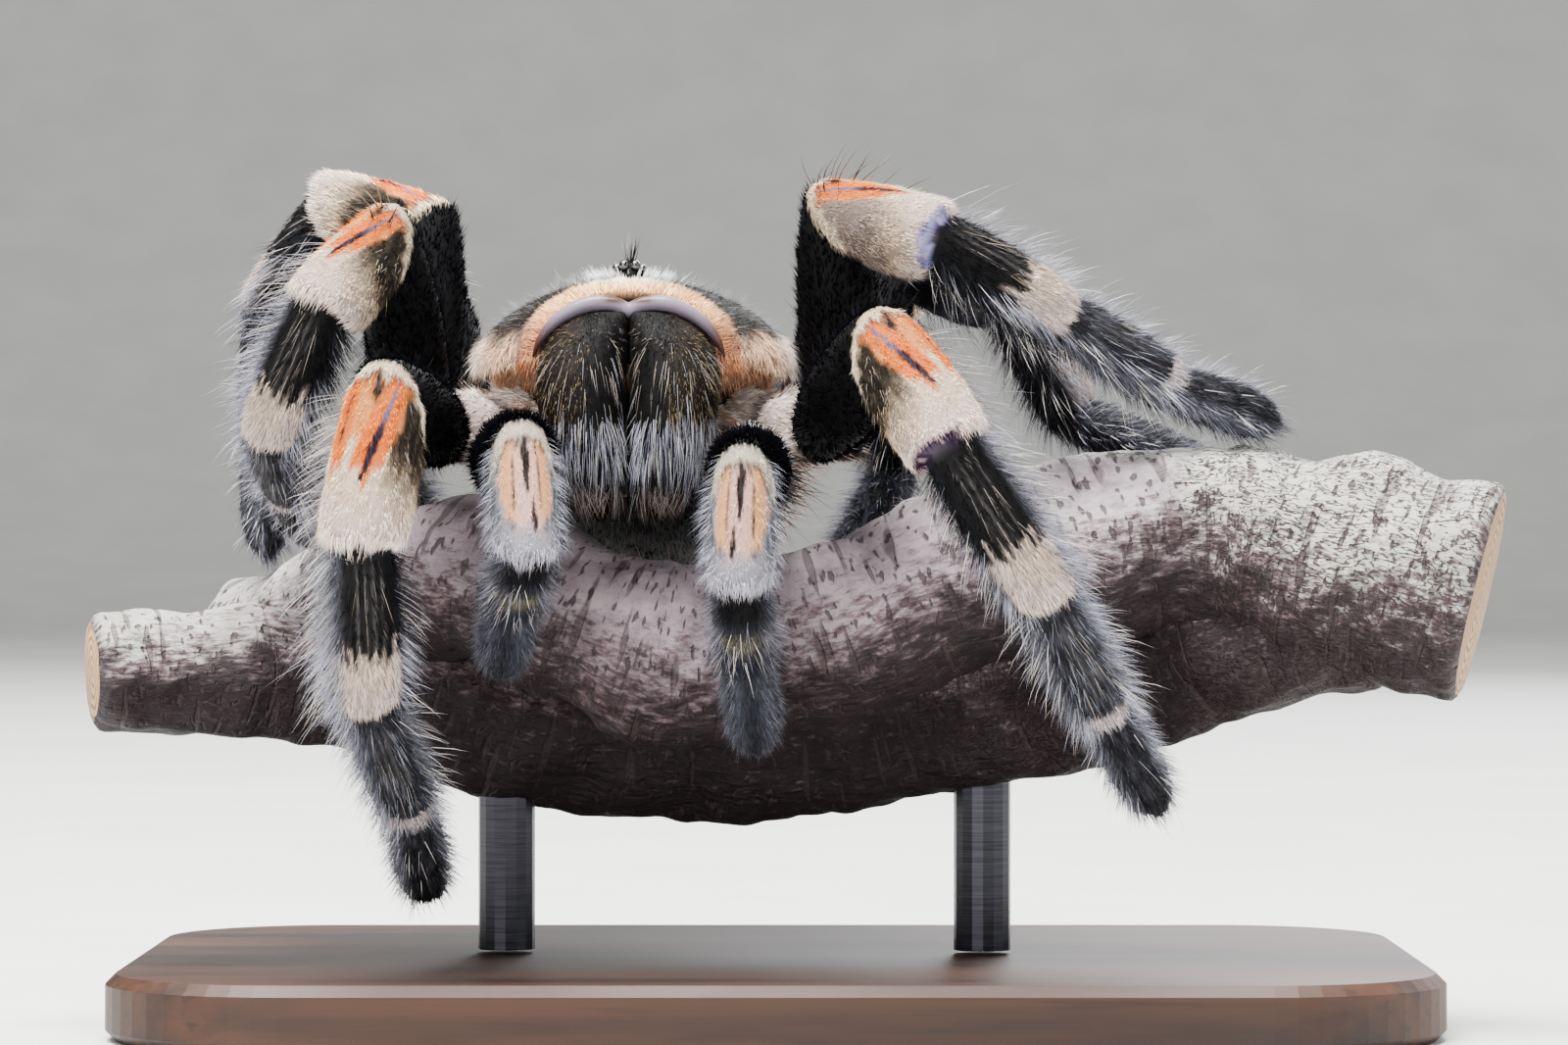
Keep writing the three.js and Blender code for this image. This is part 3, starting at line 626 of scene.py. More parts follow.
def with_cap(colour, t, a, ragged):
    """Adds the cream cap, the black behind it and the thin dark line in front of it."""
    edge = 0.105 + 0.11 * soft_step(-a, 48, 90) + ragged * 0.8
    cap = (1 - soft_step(t, edge, edge + 0.02)) * (1 - soft_step(np.abs(a), 112, 130))
    colour = blend(colour, CREAM, cap)
    behind = soft_step(np.abs(a), 116, 134) * (1 - soft_step(t, 0.2, 0.4))
    colour = blend(colour, VELVET, behind)
    return blend(colour, STREAK * 1.6, 0.85 * hump(t, edge + 0.025, 0.02) * (np.abs(a + 8) < 52))


print("the main streak's line turns from", main_line(0)[0], "to", main_line(1)[0], "degrees")


# %% Knee markings
def knee_markings(t, a, points, reach=0.0, fold_colour=STREAK, dusk=1.0):
    """All of the knee's pattern, with the dark smudge, the two bald streaks and the bare fold. The main
    streak's upper end carries a painted sheen in lavender.
    """
    ragged = ragged_by(0.035, t, a, 3)
    colour = with_flanks(flame_field(t, a, ragged), t, a, ragged, dusk)
    colour = with_cap(colour, t, a, ragged)
    smudge = hump(t, 0.2 + ragged, 0.06) * hump(a, -4, 6.5)
    colour = blend(colour, OLIVE * 0.3, np.clip(2 * smudge, 0, 1))
    main = spindle(t, a, (0.13, -32), (0.7, 0), 6.4)
    outer = spindle(t, a, (0.2, 35), (0.48, 40), 3.4, 0.5)
    # painted sheen: lavender on the main streak's upper end, turning to violet-black below
    colour = blend(colour, blend(flat(LAVENDER_SHEEN, len(t)), STREAK, soft_step(t, 0.32, 0.42)), main)
    colour = blend(colour, STREAK * 2, outer)
    fold = crescent(t, a, reach)
    return blend(colour, fold_colour, fold), fold


def palp_knee_markings(t, a, points):
    """The palp's knee: two peach lobes with a dark stripe and thin lines between them."""
    ragged = ragged_by(0.03, t, a, 4)
    rosy = rgb(246, 196, 180)
    colour = blend(flat(rosy, len(t)), rgb(254, 184, 122), hump(np.abs(a), 34, 14))
    edge = 47 - 20 * soft_step(t, 0.5, 0.8) + 300 * ragged
    silver = blend(flat(SMOKE * 0.6, len(t)), FROST * 0.55, strands(t, a, 15))
    colour = blend(colour, silver, soft_step(np.abs(a), edge, edge + 9))
    colour = blend(colour, rgb(174, 171, 182), soft_step(t + ragged, 0.68, 0.84))
    colour = blend(colour, SLATE, soft_step(np.abs(a), 115, 150))
    cap_edge = 0.14 + 0.17 * soft_step(np.abs(a), 34, 70) + 0.6 * ragged
    cap = (1 - soft_step(t, cap_edge, cap_edge + 0.02)) * (1 - soft_step(np.abs(a), 100, 118))
    colour = blend(colour, rgb(238, 226, 202), cap)
    outline = hump(t, cap_edge + 0.03, 0.026) * (np.abs(a) < 48)
    stripe = spindle(t, a, (0.14, 0), (0.54, -1), 9.0, 0.25)
    lines = spindle(t, np.abs(a), (0.16, 20), (0.66, 24), 3.4, 0.5) * (0.6 + 0.4 * strands(t, a, 16))
    lower = spindle(t, a, (0.56, -9), (0.8, -12), 5.5, 0.6)
    dark = np.clip(1.3 * stripe + 0.9 * outline + lines + lower, 0, 1)
    return blend(colour, UMBER * 0.25, dark), np.zeros(len(t))


print("the knee's main streak, at its middle:", knee_markings(
    np.array([0.45]), np.array([-14.0]), None)[0].round(2))


# %% Shin markings
def flanks(t, a, seed, inner=0.0):
    """The colour off the black band: pale smoke on the outer side, dark slate within and below."""
    streaks = strands(t, a, seed)
    pale = blend(flat(SLATE, len(t)), SMOKE * 1.2, 0.3 + 0.7 * streaks)
    dark = blend(flat(INK, len(t)), SLATE, streaks)
    light = np.maximum(soft_step(a, -60, 30) * (1 - soft_step(a, 125, 170)), inner * (np.abs(a) < 130))
    return blend(dark, pale, light)


def tan_lines(t, a):
    """Four thin tan lines along the black of a shin or foot."""
    near = np.max([hump(a, middle, 1.7) for middle in (-50, -35, -21, -6)], axis=0)
    return near * soft_step(t, 0.05, 0.2) * (1 - soft_step(t, 0.55, 0.8))


def shin_markings(t, a, points):
    """Black along the top, smoky at the sides, with a wide cream cuff at the far end."""
    ragged = ragged_by(0.06, t, a, 5)
    black = (1 - soft_step(a, 14, 40)) * (1 - soft_step(-a, 74, 100))
    colour = blend(flanks(t, a, 17), INK * 0.35, black)
    colour = blend(colour, ASH * 0.35, tan_lines(t, a) * black)
    cuff = soft_step(t + ragged, 0.61, 0.68) * (1 - soft_step(np.abs(a + 12), 74, 102))
    pinker = np.clip(0.4 + soft_step(t, 0.8, 0.97) + soft_step(np.abs(a + 20), 25, 60), 0, 1)
    pale = blend(flat(SAND, len(t)), SHELL_PINK, pinker)
    colour = blend(colour, pale * (0.76 + 0.14 * strands(t, a, 18)[:, None]), cuff)
    fold = (1 - soft_step(t, 0.02, 0.04)) * (np.abs(a - CREASE_ANGLE) < 50)
    return blend(colour, STREAK, fold), 0.8 * fold


def palp_shin_markings(t, a, points):
    """The palp's shin is slate blue, near black above, with a faint yellow-grey band."""
    colour = blend(flat(SLATE, len(t)), INK, (1 - soft_step(t, 0.3, 0.5)) * (np.abs(a) < 60))
    colour = blend(colour, rgb(150, 142, 112), 0.5 * hump(t, 0.62, 0.1))
    return blend(colour, SMOKE, 0.6 * strands(t, a, 19) * soft_step(np.abs(a), 30, 70)), np.zeros(len(t))


print("a shin's cream cuff:", shin_markings(np.array([0.8]), np.array([-10.0]), None)[0].round(2))


# %% Foot and toe markings
def foot_markings(t, a, points):
    """Slate blue with dark and tan lines along the top, and a small pale ring at the far end."""
    black = (1 - soft_step(a, 8, 38)) * (1 - soft_step(-a, 66, 92))
    colour = blend(flanks(t, a, 20, 0.4) * 1.3, INK * 1.6, black * (0.9 - 0.6 * strands(t, a, 21, 2.0)))
    colour = blend(colour, ASH * 0.4, tan_lines(t, a) * black)
    ring = soft_step(t, 0.85, 0.89) * (1 - soft_step(np.abs(a + 20), 62, 88))
    return blend(colour, rgb(222, 208, 208), ring), np.zeros(len(t))


def toe_markings(t, a, points):
    """Near black along the top, slate at the sides."""
    black = (1 - soft_step(a, 0, 30)) * (1 - soft_step(-a, 55, 85))
    black = black * (1 - 0.35 * strands(t, a, 25, 2.0))
    return blend(flanks(t, a, 22, 0.6) * 1.2, INK, black), np.zeros(len(t))


def palp_toe_markings(t, a, points):
    """Slate blue all over, darker along the middle."""
    sides = blend(flat(rgb(46, 48, 56), len(t)), rgb(106, 110, 126), 0.2 + 0.5 * strands(t, a, 23))
    return blend(sides, INK * 1.4, 0.7 * hump(a, 8, 22)), np.zeros(len(t))


print("a foot's pale ring:", foot_markings(np.array([0.95]), np.array([-10.0]), None)[0].round(2))


# %% Thigh and coxa markings
def thigh_markings(t, a, points):
    """Black velvet."""
    return flat(VELVET, len(t)), np.zeros(len(t))


def coxa_markings(t, a, points):
    """Tan above and shell pink at the far end, with painted shade in brown in the fold between them, near the
    body and underneath.
    """
    patchy = soft_step(ripple(points, 4.5, 8), -0.2, 1.0)
    colour = blend(flat(rgb(254, 236, 224), len(t)), PEACH, 0.4 * patchy)
    colour = blend(colour, SHELL_PINK, soft_step(t, 0.6, 0.78))
    # painted shade: brown in the fold, near the body and on the underside, where the coxa lies in shade
    fold_shade = np.maximum(hump(t, 0.64, 0.05), 1 - soft_step(t, 0.06, 0.34))
    colour = blend(colour, UMBER * 0.5, np.clip(fold_shade + soft_step(np.abs(a), 112, 145), 0, 1))
    return colour, np.zeros(len(t))


MARKINGS = {
    "coxa": coxa_markings,
    "femur": thigh_markings,
    "patella": knee_markings,
    "tibia": shin_markings,
    "metatarsus": foot_markings,
    "tarsus": toe_markings,
}
PALP_MARKINGS = {
    "patella": palp_knee_markings,
    "tibia": palp_shin_markings,
    "tarsus": palp_toe_markings,
}
print("markings for", ", ".join(MARKINGS))

# %% Limb patches
ROW_LENGTH = 0.42  # of the skin's mesh along a limb
LIMB_COLUMNS, LIMB_CROWDING = 44, 0.6  # the columns stand closer on the dorsal side, where the pattern is


def signed_angle(v):
    """Degrees from the dorsal line, positive to the outer side."""
    return (v * 360 + 180) % 360 - 180


def limb_patches(kind, side_name):
    """The patches of one limb, coxa first."""
    side = 1 if side_name == "left" else -1
    measured = limb_frame(kind, side_name)
    patches = []
    for i, name in enumerate(PALP if kind == "palp" else LEG):
        marks = PALP_MARKINGS.get(name, MARKINGS[name]) if kind == "palp" else MARKINGS[name]
        if name == "patella":
            marks = partial(marks, **KNEES.get((kind, side_name), {}))
        length = np.linalg.norm(measured[0][i + 1] - measured[0][i])
        patch = Patch(
            segment_point(measured, i, segment_radius(kind, i, name), side),
            lambda u, v, points, marks=marks: marks(u, signed_angle(v), points),
            rows=int(length / ROW_LENGTH),
            columns=LIMB_COLUMNS,
            crowding=LIMB_CROWDING,
            kind=kind,
            side=side_name,
            segment=name,
            length=length,
        )
        patches.append(patch)
    return patches


limbs = {(kind, side): limb_patches(kind, side) for side in ("left", "right") for kind in LIMBS}
print(sum(len(patches) for patches in limbs.values()), "limb patches")

# %% [markdown]
# ## The body
#
# The carapace is a low dome with a pit in the middle and grooves that run from it to the legs. Its
# front edge rolls over above the jaws. The jaws are two tall half-round columns side by side, with a
# shiny lilac fold of skin between them and the shield. The abdomen is an egg on a narrow waist. All of
# it could be sculpted, but an outline from above and one from the side say enough, and their few
# numbers can be measured and changed.

# %% Body sizes
CARAPACE_FRONT, CARAPACE_REAR, CARAPACE_FOOT = 4.7, 30.8, 50.4
carapace_half_width = profile([
    [4.5, 7.9], [8, 9.5], [13, 11.6], [18, 12.2], [24, 11.2], [28.5, 8], [31, 3.6],
])
carapace_top = profile([
    [4.5, 56.8], [8, 57.2], [14, 56.9], [19, 55.9], [25, 55.2], [29, 53.4], [31, 51.6],
])
CARAPACE_COAT = 0.3
ROLL = {"share": 0.07, "depth": 0.9, "inset": 1.35}  # the front edge's roll
FOVEA_Y, PIT_DEPTH, PIT_LENGTH, PIT_WIDTH = 20.5, 0.8, 0.7, 1.3
GROOVES, GROOVE_DEPTH, GROOVE_WIDTH = [28, 62, 96, 132], 0.42, 0.75  # angles from straight ahead
ARCH_SHARE = 0.8  # of v that goes over the top; the rest crosses the underside
ABDOMEN_FRONT, ABDOMEN_REAR = 32.2, 67.6
abdomen_half_width = profile([
    [32, 1.9], [34, 6.2], [38.5, 10.6], [45, 12.9], [52, 13.3], [59, 11.8], [64.5, 8], [68, 2.2],
])
abdomen_centre = profile([[32, 47.4], [36, 46.6], [45, 45.2], [55, 44.4], [68, 43.4]])
ABDOMEN_DEPTH, ABDOMEN_COAT = 0.86, 0.6
CHEST_TOP, CHEST_FLOOR, CHEST_MIDDLE, CHEST_LENGTH = 51.0, 43.9, 17.5, 24.4
chest_share = profile([[43.7, 0.5], [45.5, 0.68], [48, 0.84], [49.9, 0.9], [51.2, 0.86]])
JAW_BACK, JAW_TOP, JAW_FOOT, JAW_COAT = 4.2, 54.2, 40.4, 0.25
JAW_GAP = 0.12  # from the midline to a jaw's inner face
jaw_outer = profile([
    [40.3, 4.5], [41.4, 5.2], [43.6, 6], [46.6, 6.9], [49.6, 7.1], [51.9, 6.2], [53.4, 4.7], [54.2, 2.9],
])
jaw_front = profile([
    [40.3, 1], [41.4, -0.5], [43.6, -1.6], [46.6, -2], [49.6, -1.6], [51.9, -0.4], [53.4, 1.4], [54.2, 3],
])
print(f"carapace {CARAPACE_REAR - CARAPACE_FRONT:.0f} mm long, jaws {2 * jaw_outer(49.6):.1f} mm across")


# %% Carapace
def hollows(x, y):
    """How deep the pit and the grooves go at a place on the shield."""
    bearing = np.degrees(np.arctan2(np.abs(x), FOVEA_Y - y))
    reach = np.hypot(x, y - FOVEA_Y)
    groove = sum(hump(np.radians(bearing - angle) * reach, 0, GROOVE_WIDTH) for angle in GROOVES)
    groove = groove * soft_step(reach, 1.2, 3) * (1 - soft_step(reach, 8, 11)) * GROOVE_DEPTH
    return groove + PIT_DEPTH * np.exp(-((x / PIT_WIDTH) ** 2) - ((y - FOVEA_Y) / PIT_LENGTH) ** 2)


def carapace_point(u, v):
    """The shield, from its rolled front edge to the rear."""
    rolled = np.clip(u / ROLL["share"], 0, 1) * math.pi / 2
    y = CARAPACE_FRONT + ROLL["depth"] * (1 - np.cos(rolled))
    behind = np.clip((u - ROLL["share"]) / (1 - ROLL["share"]), 0, 1)
    y = y + (CARAPACE_REAR - CARAPACE_FRONT - ROLL["depth"]) * behind
    inset = ROLL["inset"] * (1 - np.sin(rolled)) + CARAPACE_COAT
    width = carapace_half_width(y) - inset
    height = carapace_top(y) - inset - CARAPACE_FOOT
    v = v % 1.0
    over = np.clip(v / ARCH_SHARE, 0, 1) * math.pi
    under = np.clip((v - ARCH_SHARE) / (1 - ARCH_SHARE), 0, 1)
    x = width * np.cos(over) + 2 * width * under
    z = CARAPACE_FOOT + height * np.sin(over) ** 0.86
    z = z - hollows(x, y) * (v < ARCH_SHARE) * soft_step(y, 6.5, 9)
    return np.stack([x, y, z], axis=1)


def carapace_markings(u, v, points):
    """Dark olive brown, with a wide tan margin, the peach band over the jaws, and painted shade on the rolled
    edge's lip.
    """
    x, y, z = points.T
    height = z - CARAPACE_FOOT
    patchy = ripple(points, 5, 21)
    colour = blend(flat(rgb(30, 29, 25), len(u)), rgb(70, 62, 50), soft_step(patchy, 0.1, 1.2))
    margin = blend(flat(rgb(242, 196, 160), len(u)), SHELL_PINK, soft_step(y, 11, 17))
    colour = blend(colour, margin, (1 - soft_step(height + 0.4 * patchy, 1.4, 3.0)) * soft_step(y, 5.6, 6.6))
    band = 1 - soft_step(y, 5.7, 6.6)
    peach = blend(flat(rgb(184, 118, 76), len(u)), rgb(255, 190, 126), soft_step(z, 51.6, 54.8))
    peach = blend(peach, rgb(248, 232, 212), soft_step(z, 55.9, 56.5) * (1 - soft_step(np.abs(x), 2.2, 4)))
    colour = blend(colour, peach, band)
    # painted shade: the lip of the rolled front edge is near black, where it shows in the shaded gap above
    # and between the jaws
    return blend(colour, UMBER * 0.2, 1 - soft_step(u, 0.004, 0.016)), np.zeros(len(u))


print(f"the shield's pit is {hollows(np.zeros(1), np.full(1, FOVEA_Y))[0]:.1f} mm deep")


# %% Abdomen and chest
def abdomen_point(u, v):
    """The abdomen, from the waist to the rear."""
    y = ABDOMEN_FRONT + (ABDOMEN_REAR - ABDOMEN_FRONT) * u
    width = np.maximum(abdomen_half_width(y) - ABDOMEN_COAT, 0.5)
    angle = v * 2 * math.pi
    x, z = width * np.sin(angle), abdomen_centre(y) + width * ABDOMEN_DEPTH * np.cos(angle)
    return np.stack([x, y, z], axis=1)


def abdomen_markings(u, v, points):
    """Brown-black."""
    return flat(rgb(14, 11, 12), len(u)), np.zeros(len(u))


def chest_point(u, v):
    """The chest under the shield, from the shield's foot down to the sternum, with a closed floor."""
    z = CHEST_TOP + (CHEST_FLOOR - CHEST_TOP) * np.clip(u / 0.8, 0, 1)
    floor = 1 - soft_step(u, 0.8, 1.02)
    share = chest_share(z) * floor
    angle = v * 2 * math.pi
    y = CHEST_MIDDLE + CHEST_LENGTH / 2 * np.cos(angle) * (0.4 + 0.6 * share) * floor
    full = np.sign(np.sin(angle)) * np.abs(np.sin(angle)) ** 0.35
    return np.stack([(carapace_half_width(y) - 0.4) * share * full, y, z], axis=1)


def chest_markings(u, v, points):
    """Near black underneath, the brown-black chest darkened as painted shade under the jaws and the shield;
    tan up at the shield.
    """
    high = soft_step(points[:, 2], 48.0, 49.2)
    # painted shade: the chest's brown-black is taken nearly to black, as it lies in shade under the shield
    # and jaws
    return blend(flat(rgb(5, 4, 4), len(u)), rgb(240, 180, 142), high), np.zeros(len(u))


print(f"abdomen {ABDOMEN_REAR - ABDOMEN_FRONT:.0f} mm long, {2 * abdomen_half_width(52):.0f} mm across")


# %% Jaws, and the body's patches
def jaw_point_of(side):
    """One jaw, from its top down to the fang."""

    def point(u, v):
        z = JAW_TOP + (JAW_FOOT - JAW_TOP) * u
        around = np.clip((v % 1.0) / ARCH_SHARE, 0, 1) * math.pi
        back = np.clip((v % 1.0 - ARCH_SHARE) / (1 - ARCH_SHARE), 0, 1)
        across = 0.5 - 0.5 * np.sign(np.cos(around)) * np.abs(np.cos(around)) ** 0.9
        outer = jaw_outer(z) - JAW_COAT
        x = JAW_GAP + (outer - JAW_GAP) * np.where(back > 0, 1 - back, across)
        front = jaw_front(z) + JAW_COAT
        y = JAW_BACK - (JAW_BACK - front) * np.sin(around) ** 0.75
        return np.stack([side * x, y, z], axis=1)

    return point


def jaw_markings(u, v, points):
    """Brown-black, warmer on the outer half."""
    outer = soft_step(np.abs(points[:, 0]), 2.2, 4.4)
    return blend(flat(rgb(6, 6, 7), len(u)), rgb(32, 25, 19), outer), np.zeros(len(u))


bodies = {
    "carapace": Patch(carapace_point, carapace_markings, 120, 100),
    "abdomen": Patch(abdomen_point, abdomen_markings, 70, 72),
    "chest": Patch(chest_point, chest_markings, 30, 56),
    "chelicera_left": Patch(jaw_point_of(1), jaw_markings, 60, 56),
    "chelicera_right": Patch(jaw_point_of(-1), jaw_markings, 60, 56),
}
print("body patches:", ", ".join(bodies))

# %% [markdown]
# ## Swept parts
#
# The fold of skin over the jaws, the spinnerets at the rear, the waist, the fangs and the claws are
# round tubes that taper along a bent line. One function sweeps them all.


# %% Tubes
def tube_point(stations):
    """The patch function of a tube through [x, y, z, radius] stations."""
    stations = np.asarray(stations, float)
    path, knots = stations[:, :3], np.linspace(0, 1, len(stations))
    girth = profile(np.stack([knots, stations[:, 3]], axis=1))

    def point(u, v):
        centre = curve(path, u)
        ahead = unit(curve(path, np.minimum(u + 0.01, 1)) - curve(path, np.maximum(u - 0.01, 0)))
        reference = np.where(np.abs(ahead[:, 2:]) > 0.9, [[0.0, 1.0, 0.0]], [[0.0, 0.0, 1.0]])
        if abs(unit(path[-1] - path[0])[2]) > 0.7:
            reference = np.tile([0.0, 1.0, 0.0], (len(ahead), 1))
        up = unit(reference - ahead * dot(reference, ahead))
        side = np.cross(ahead, up)
        angle, r = v * 2 * math.pi, girth(u)[:, None]
        return centre + up * np.cos(angle)[:, None] * r + side * np.sin(angle)[:, None] * r

    return point


FOLD = [  # the fold over the jaws, right to left, [x, y, z, radius]
    [-7.15, 4.6, 50.9, 0.1], [-6.75, 4.3, 51.9, 0.26], [-5.9, 4.1, 53.1, 0.42], [-4.6, 3.9, 54.12, 0.54],
    [-2.8, 3.8, 54.82, 0.6], [-1.0, 3.9, 54.78, 0.56], [0, 4.0, 54.35, 0.58], [1.0, 3.9, 54.78, 0.56],
    [2.8, 3.8, 54.82, 0.6], [4.6, 3.9, 54.12, 0.54], [5.9, 4.1, 53.1, 0.42], [6.75, 4.3, 51.9, 0.26],
    [7.15, 4.6, 50.9, 0.1],
]
WAIST = [[0, 27, 47.6, 2.2], [0, 30, 47.5, 1.7], [0, 34, 47.2, 1.8]]
SPINNERET = [[1.2, 63.5, 40.4, 1.3], [1.7, 67.5, 39.6, 1.1], [2.2, 70, 39.4, 0.8], [2.6, 72.4, 40, 0.12]]
SHORT_SPINNERET = [[0.6, 63.5, 39.7, 0.7], [0.8, 66.2, 38.6, 0.5], [0.9, 67.4, 38.4, 0.1]]


def fold_markings(u, v, points):
    """Lilac, browner low at the sides, with two brown spots under the shield's edge."""
    x, z = np.abs(points[:, 0]), points[:, 2]
    colour = blend(flat(LILAC, len(u)), UMBER * 1.3, soft_step(x, 5.2, 7.0))
    spots = hump(x, 1.0, 0.8) * soft_step(z, 54.75, 55.0)
    return blend(colour, UMBER, np.clip(1.5 * spots, 0, 1)), np.full(len(u), 0.75)


def plain_markings(colour, bare=0.0):
    """One colour all over."""
    return lambda u, v, points: (flat(colour, len(u)), np.full(len(u), bare))


def mirrored(stations):
    """The stations on the other side of the midline."""
    return [[-x, *rest] for x, *rest in stations]


bodies["jaw_fold"] = Patch(tube_point(FOLD), fold_markings, 72, 20)
bodies["waist"] = Patch(tube_point(WAIST), plain_markings(rgb(40, 26, 24)), 10, 20)
for label, shape in (("long", SPINNERET), ("short", SHORT_SPINNERET)):
    for side, stations in (("left", shape), ("right", mirrored(shape))):
        markings = plain_markings(rgb(44, 34, 32))
        bodies[f"{label}_spinneret_{side}"] = Patch(tube_point(stations), markings, 16, 14)
print(len(bodies), "body patches")

# %% [markdown]
# ## One skin
#
# The skin could be one sculpted mesh. Here it is a set of grids, each laid on its patch, its seam
# welded and its ends filled, all in one object. A limb's grids share their rings at the joints, so the
# limb is one closed tube. Colour and bareness are stored on the points.

# %% Grids on patches
WELD = 0.004 * MM  # corners that are closer than this are one


def grid_layers(bm):
    """Layers that keep each corner's u and v, and the number of its patch."""
    return [bm.verts.layers.float.new("u"), bm.verts.layers.float.new("v"), bm.verts.layers.int.new("patch")]


def lay_grid(bm, patch, layers, number):
    """Adds a patch's grid to the mesh and returns its corners."""
    grid = bmesh.ops.create_grid(bm, x_segments=patch.rows, y_segments=patch.columns, size=1)["verts"]
    flat_places = np.array([corner.co[:2] for corner in grid])
    low, high = flat_places.min(axis=0), flat_places.max(axis=0)
    u, v = ((flat_places - low) / (high - low)).T
    v = v - patch.crowding / (2 * math.pi) * np.sin(2 * math.pi * v)
    points = placed(patch.point(u, v))
    for corner, place, *facts in zip(grid, points, u, v, [number] * len(grid)):
        corner.co = place
        for layer, fact in zip(layers, facts):
            corner[layer] = fact
    return grid


def closed_skin(bm, grid):
    """Welds a group of grids into one closed shell."""
    bmesh.ops.remove_doubles(bm, verts=grid, dist=WELD)
    open_edges = [edge for edge in bm.edges if edge.is_boundary]
    bmesh.ops.holes_fill(bm, edges=open_edges, sides=0)


print(f"corners within {WELD / MM * 1000:.0f} micrometres of one another are welded")


# %% What the skin's points store
def store_colour(mesh, colours):
    """Stores a colour for each point as the attribute that the materials read."""
    layer = mesh.color_attributes.new("tint", "FLOAT_COLOR", "POINT")
    cover = np.ones((len(colours), 1))
    layer.data.foreach_set("color", np.hstack([colours, cover]).astype(np.float32).ravel())


def store_number(mesh, name, values):
    """Stores a number for each point."""
    mesh.attributes.new(name, "FLOAT", "POINT").data.foreach_set("value", values.astype(np.float32))


def take_grid_layers(mesh):
    """Each point's u, v and patch number, as arrays. The layers themselves leave the mesh."""
    taken = []
    for name, kind in (("u", np.float32), ("v", np.float32), ("patch", np.int32)):
        values = np.zeros(len(mesh.vertices), kind)
        mesh.attributes[name].data.foreach_get("value", values)
        mesh.attributes.remove(mesh.attributes[name])
        taken.append(values)
    return taken


print("each point stores its tint, and how bare it is")


# %% Build the skin
def build_skin(name, groups):
    """One object from groups of patches. Each group is one closed shell."""
    bm = bmesh.new()
    layers = grid_layers(bm)
    every = [patch for group in groups for patch in group]
    for group in groups:
        closed_skin(bm, [c for patch in group for c in lay_grid(bm, patch, layers, every.index(patch))])
    bmesh.ops.recalc_face_normals(bm, faces=bm.faces)
    made = mesh_object(name, bm)
    u, v, number = take_grid_layers(made.data)
    colours, bare = np.zeros((len(u), 3)), np.zeros(len(u))
    for i, patch in enumerate(every):
        mine = number == i
        u_mine, v_mine = u[mine].astype(float), v[mine].astype(float)
        colours[mine], bare[mine] = patch.paint(u_mine, v_mine, patch.point(u_mine, v_mine))
    store_colour(made.data, colours)
    store_number(made.data, "bare", bare)
    return made


skin = build_skin("skin", list(limbs.values()) + [[patch] for patch in bodies.values()])
print(f"skin: {len(skin.data.polygons)} faces")


# %% Skin finish
def skin_finish():
    """The cuticle: under the coat its colour is darkened nearly to black, a painted shade of the hair over
    it. Smooth and glossy where it is bare.
    """
    finish = Finish("cuticle", Specular_IOR_Level=0.1, Coat_Roughness=0.2)
    bare = finish.attribute("bare", "Fac")
    grain = finish.noise(finish.object_place(), 1400.0, 4.0)
    tint = finish.attribute("tint")
    # painted shade: where the skin is not bare its colour is mostly near black, the shade under the coat
    shaded = finish.mix(bare * 0.72 + 0.28, rgba(4, 3, 4), tint)
    finish.bump(grain * (1 - bare * 0.7), 0.12 * MM, 0.5)
    return finish.paint(Base_Color=shaded, Roughness=0.7 - bare * 0.25, Coat_Weight=bare * 0.4)


skin.data.materials.append(skin_finish())
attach(skin, "root")
FLESH = [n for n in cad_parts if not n.startswith(("stand_", "perch_", "fang_", "eye_"))]
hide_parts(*FLESH)
print(f"the skin stands for {len(FLESH)} solids")

# %% [markdown]
# ## Tufts
#
# Flat cards with hair drawn on them would need pictures, and look thin from the side. So a tuft is a
# closed spike of three corners. The shortest have four faces and are straight. Longer ones have a ring
# or two more, so that they leave the skin steeply and bend over. Roots are drawn at random, as many on
# each square millimetre as the layer asks for. A tuft takes its colour from the markings, a little
# lighter or darker than its neighbours. Towards the skin it is darker, a painted shade of the hair
# over it, and towards its tip it is lighter, partly the pale tips the hair has and partly painted light.
# Its patch on the coat's map is small and its own, so that the colour can be baked.

# %% Scatter roots
TRIALS, HEADROOM = 2000, 1.05  # places tried to find a patch's largest weight, and what is added to it


def scatter(patch, density, random):
    """Random places on a patch, density(u, angle, points) to the square millimetre."""

    def weight(u, v):
        points, outward, along, area = patch.at(u, v)
        return area * np.maximum(density(u, signed_angle(v), points), 0), points, outward, along

    trial, *_ = weight(random.random(TRIALS), random.random(TRIALS))
    most = trial.max() * HEADROOM
    count = int(most)
    u, v = random.random(count), random.random(count)
    share, points, outward, along = weight(u, v)
    kept = random.random(count) * most < share
    return {"u": u[kept], "v": v[kept], "point": points[kept], "outward": outward[kept], "along": along[kept]}


test_roots = scatter(bodies["abdomen"], lambda u, a, points: np.ones(len(u)), np.random.default_rng(1))
print(f"the abdomen's skin is about {len(test_roots['u'])} square millimetres")

# %% Spikes
SUNK, THICKNESS = 0.12, 0.45  # how deep a tuft is rooted, and its thickness to its width


def spike_faces(rings):
    """The triangles of one closed spike: a base, the sides between its rings, and a tip."""
    faces = [(2, 1, 0)]
    for first in range(0, 3 * (rings - 1), 3):
        for i in range(3):
            j = (i + 1) % 3
            a, b, c, d = first + i, first + j, first + 3 + j, first + 3 + i
            faces += [(a, b, c), (a, c, d)]
    last = 3 * (rings - 1)
    return np.array(faces + [(last + i, last + (i + 1) % 3, last + 3) for i in range(3)])


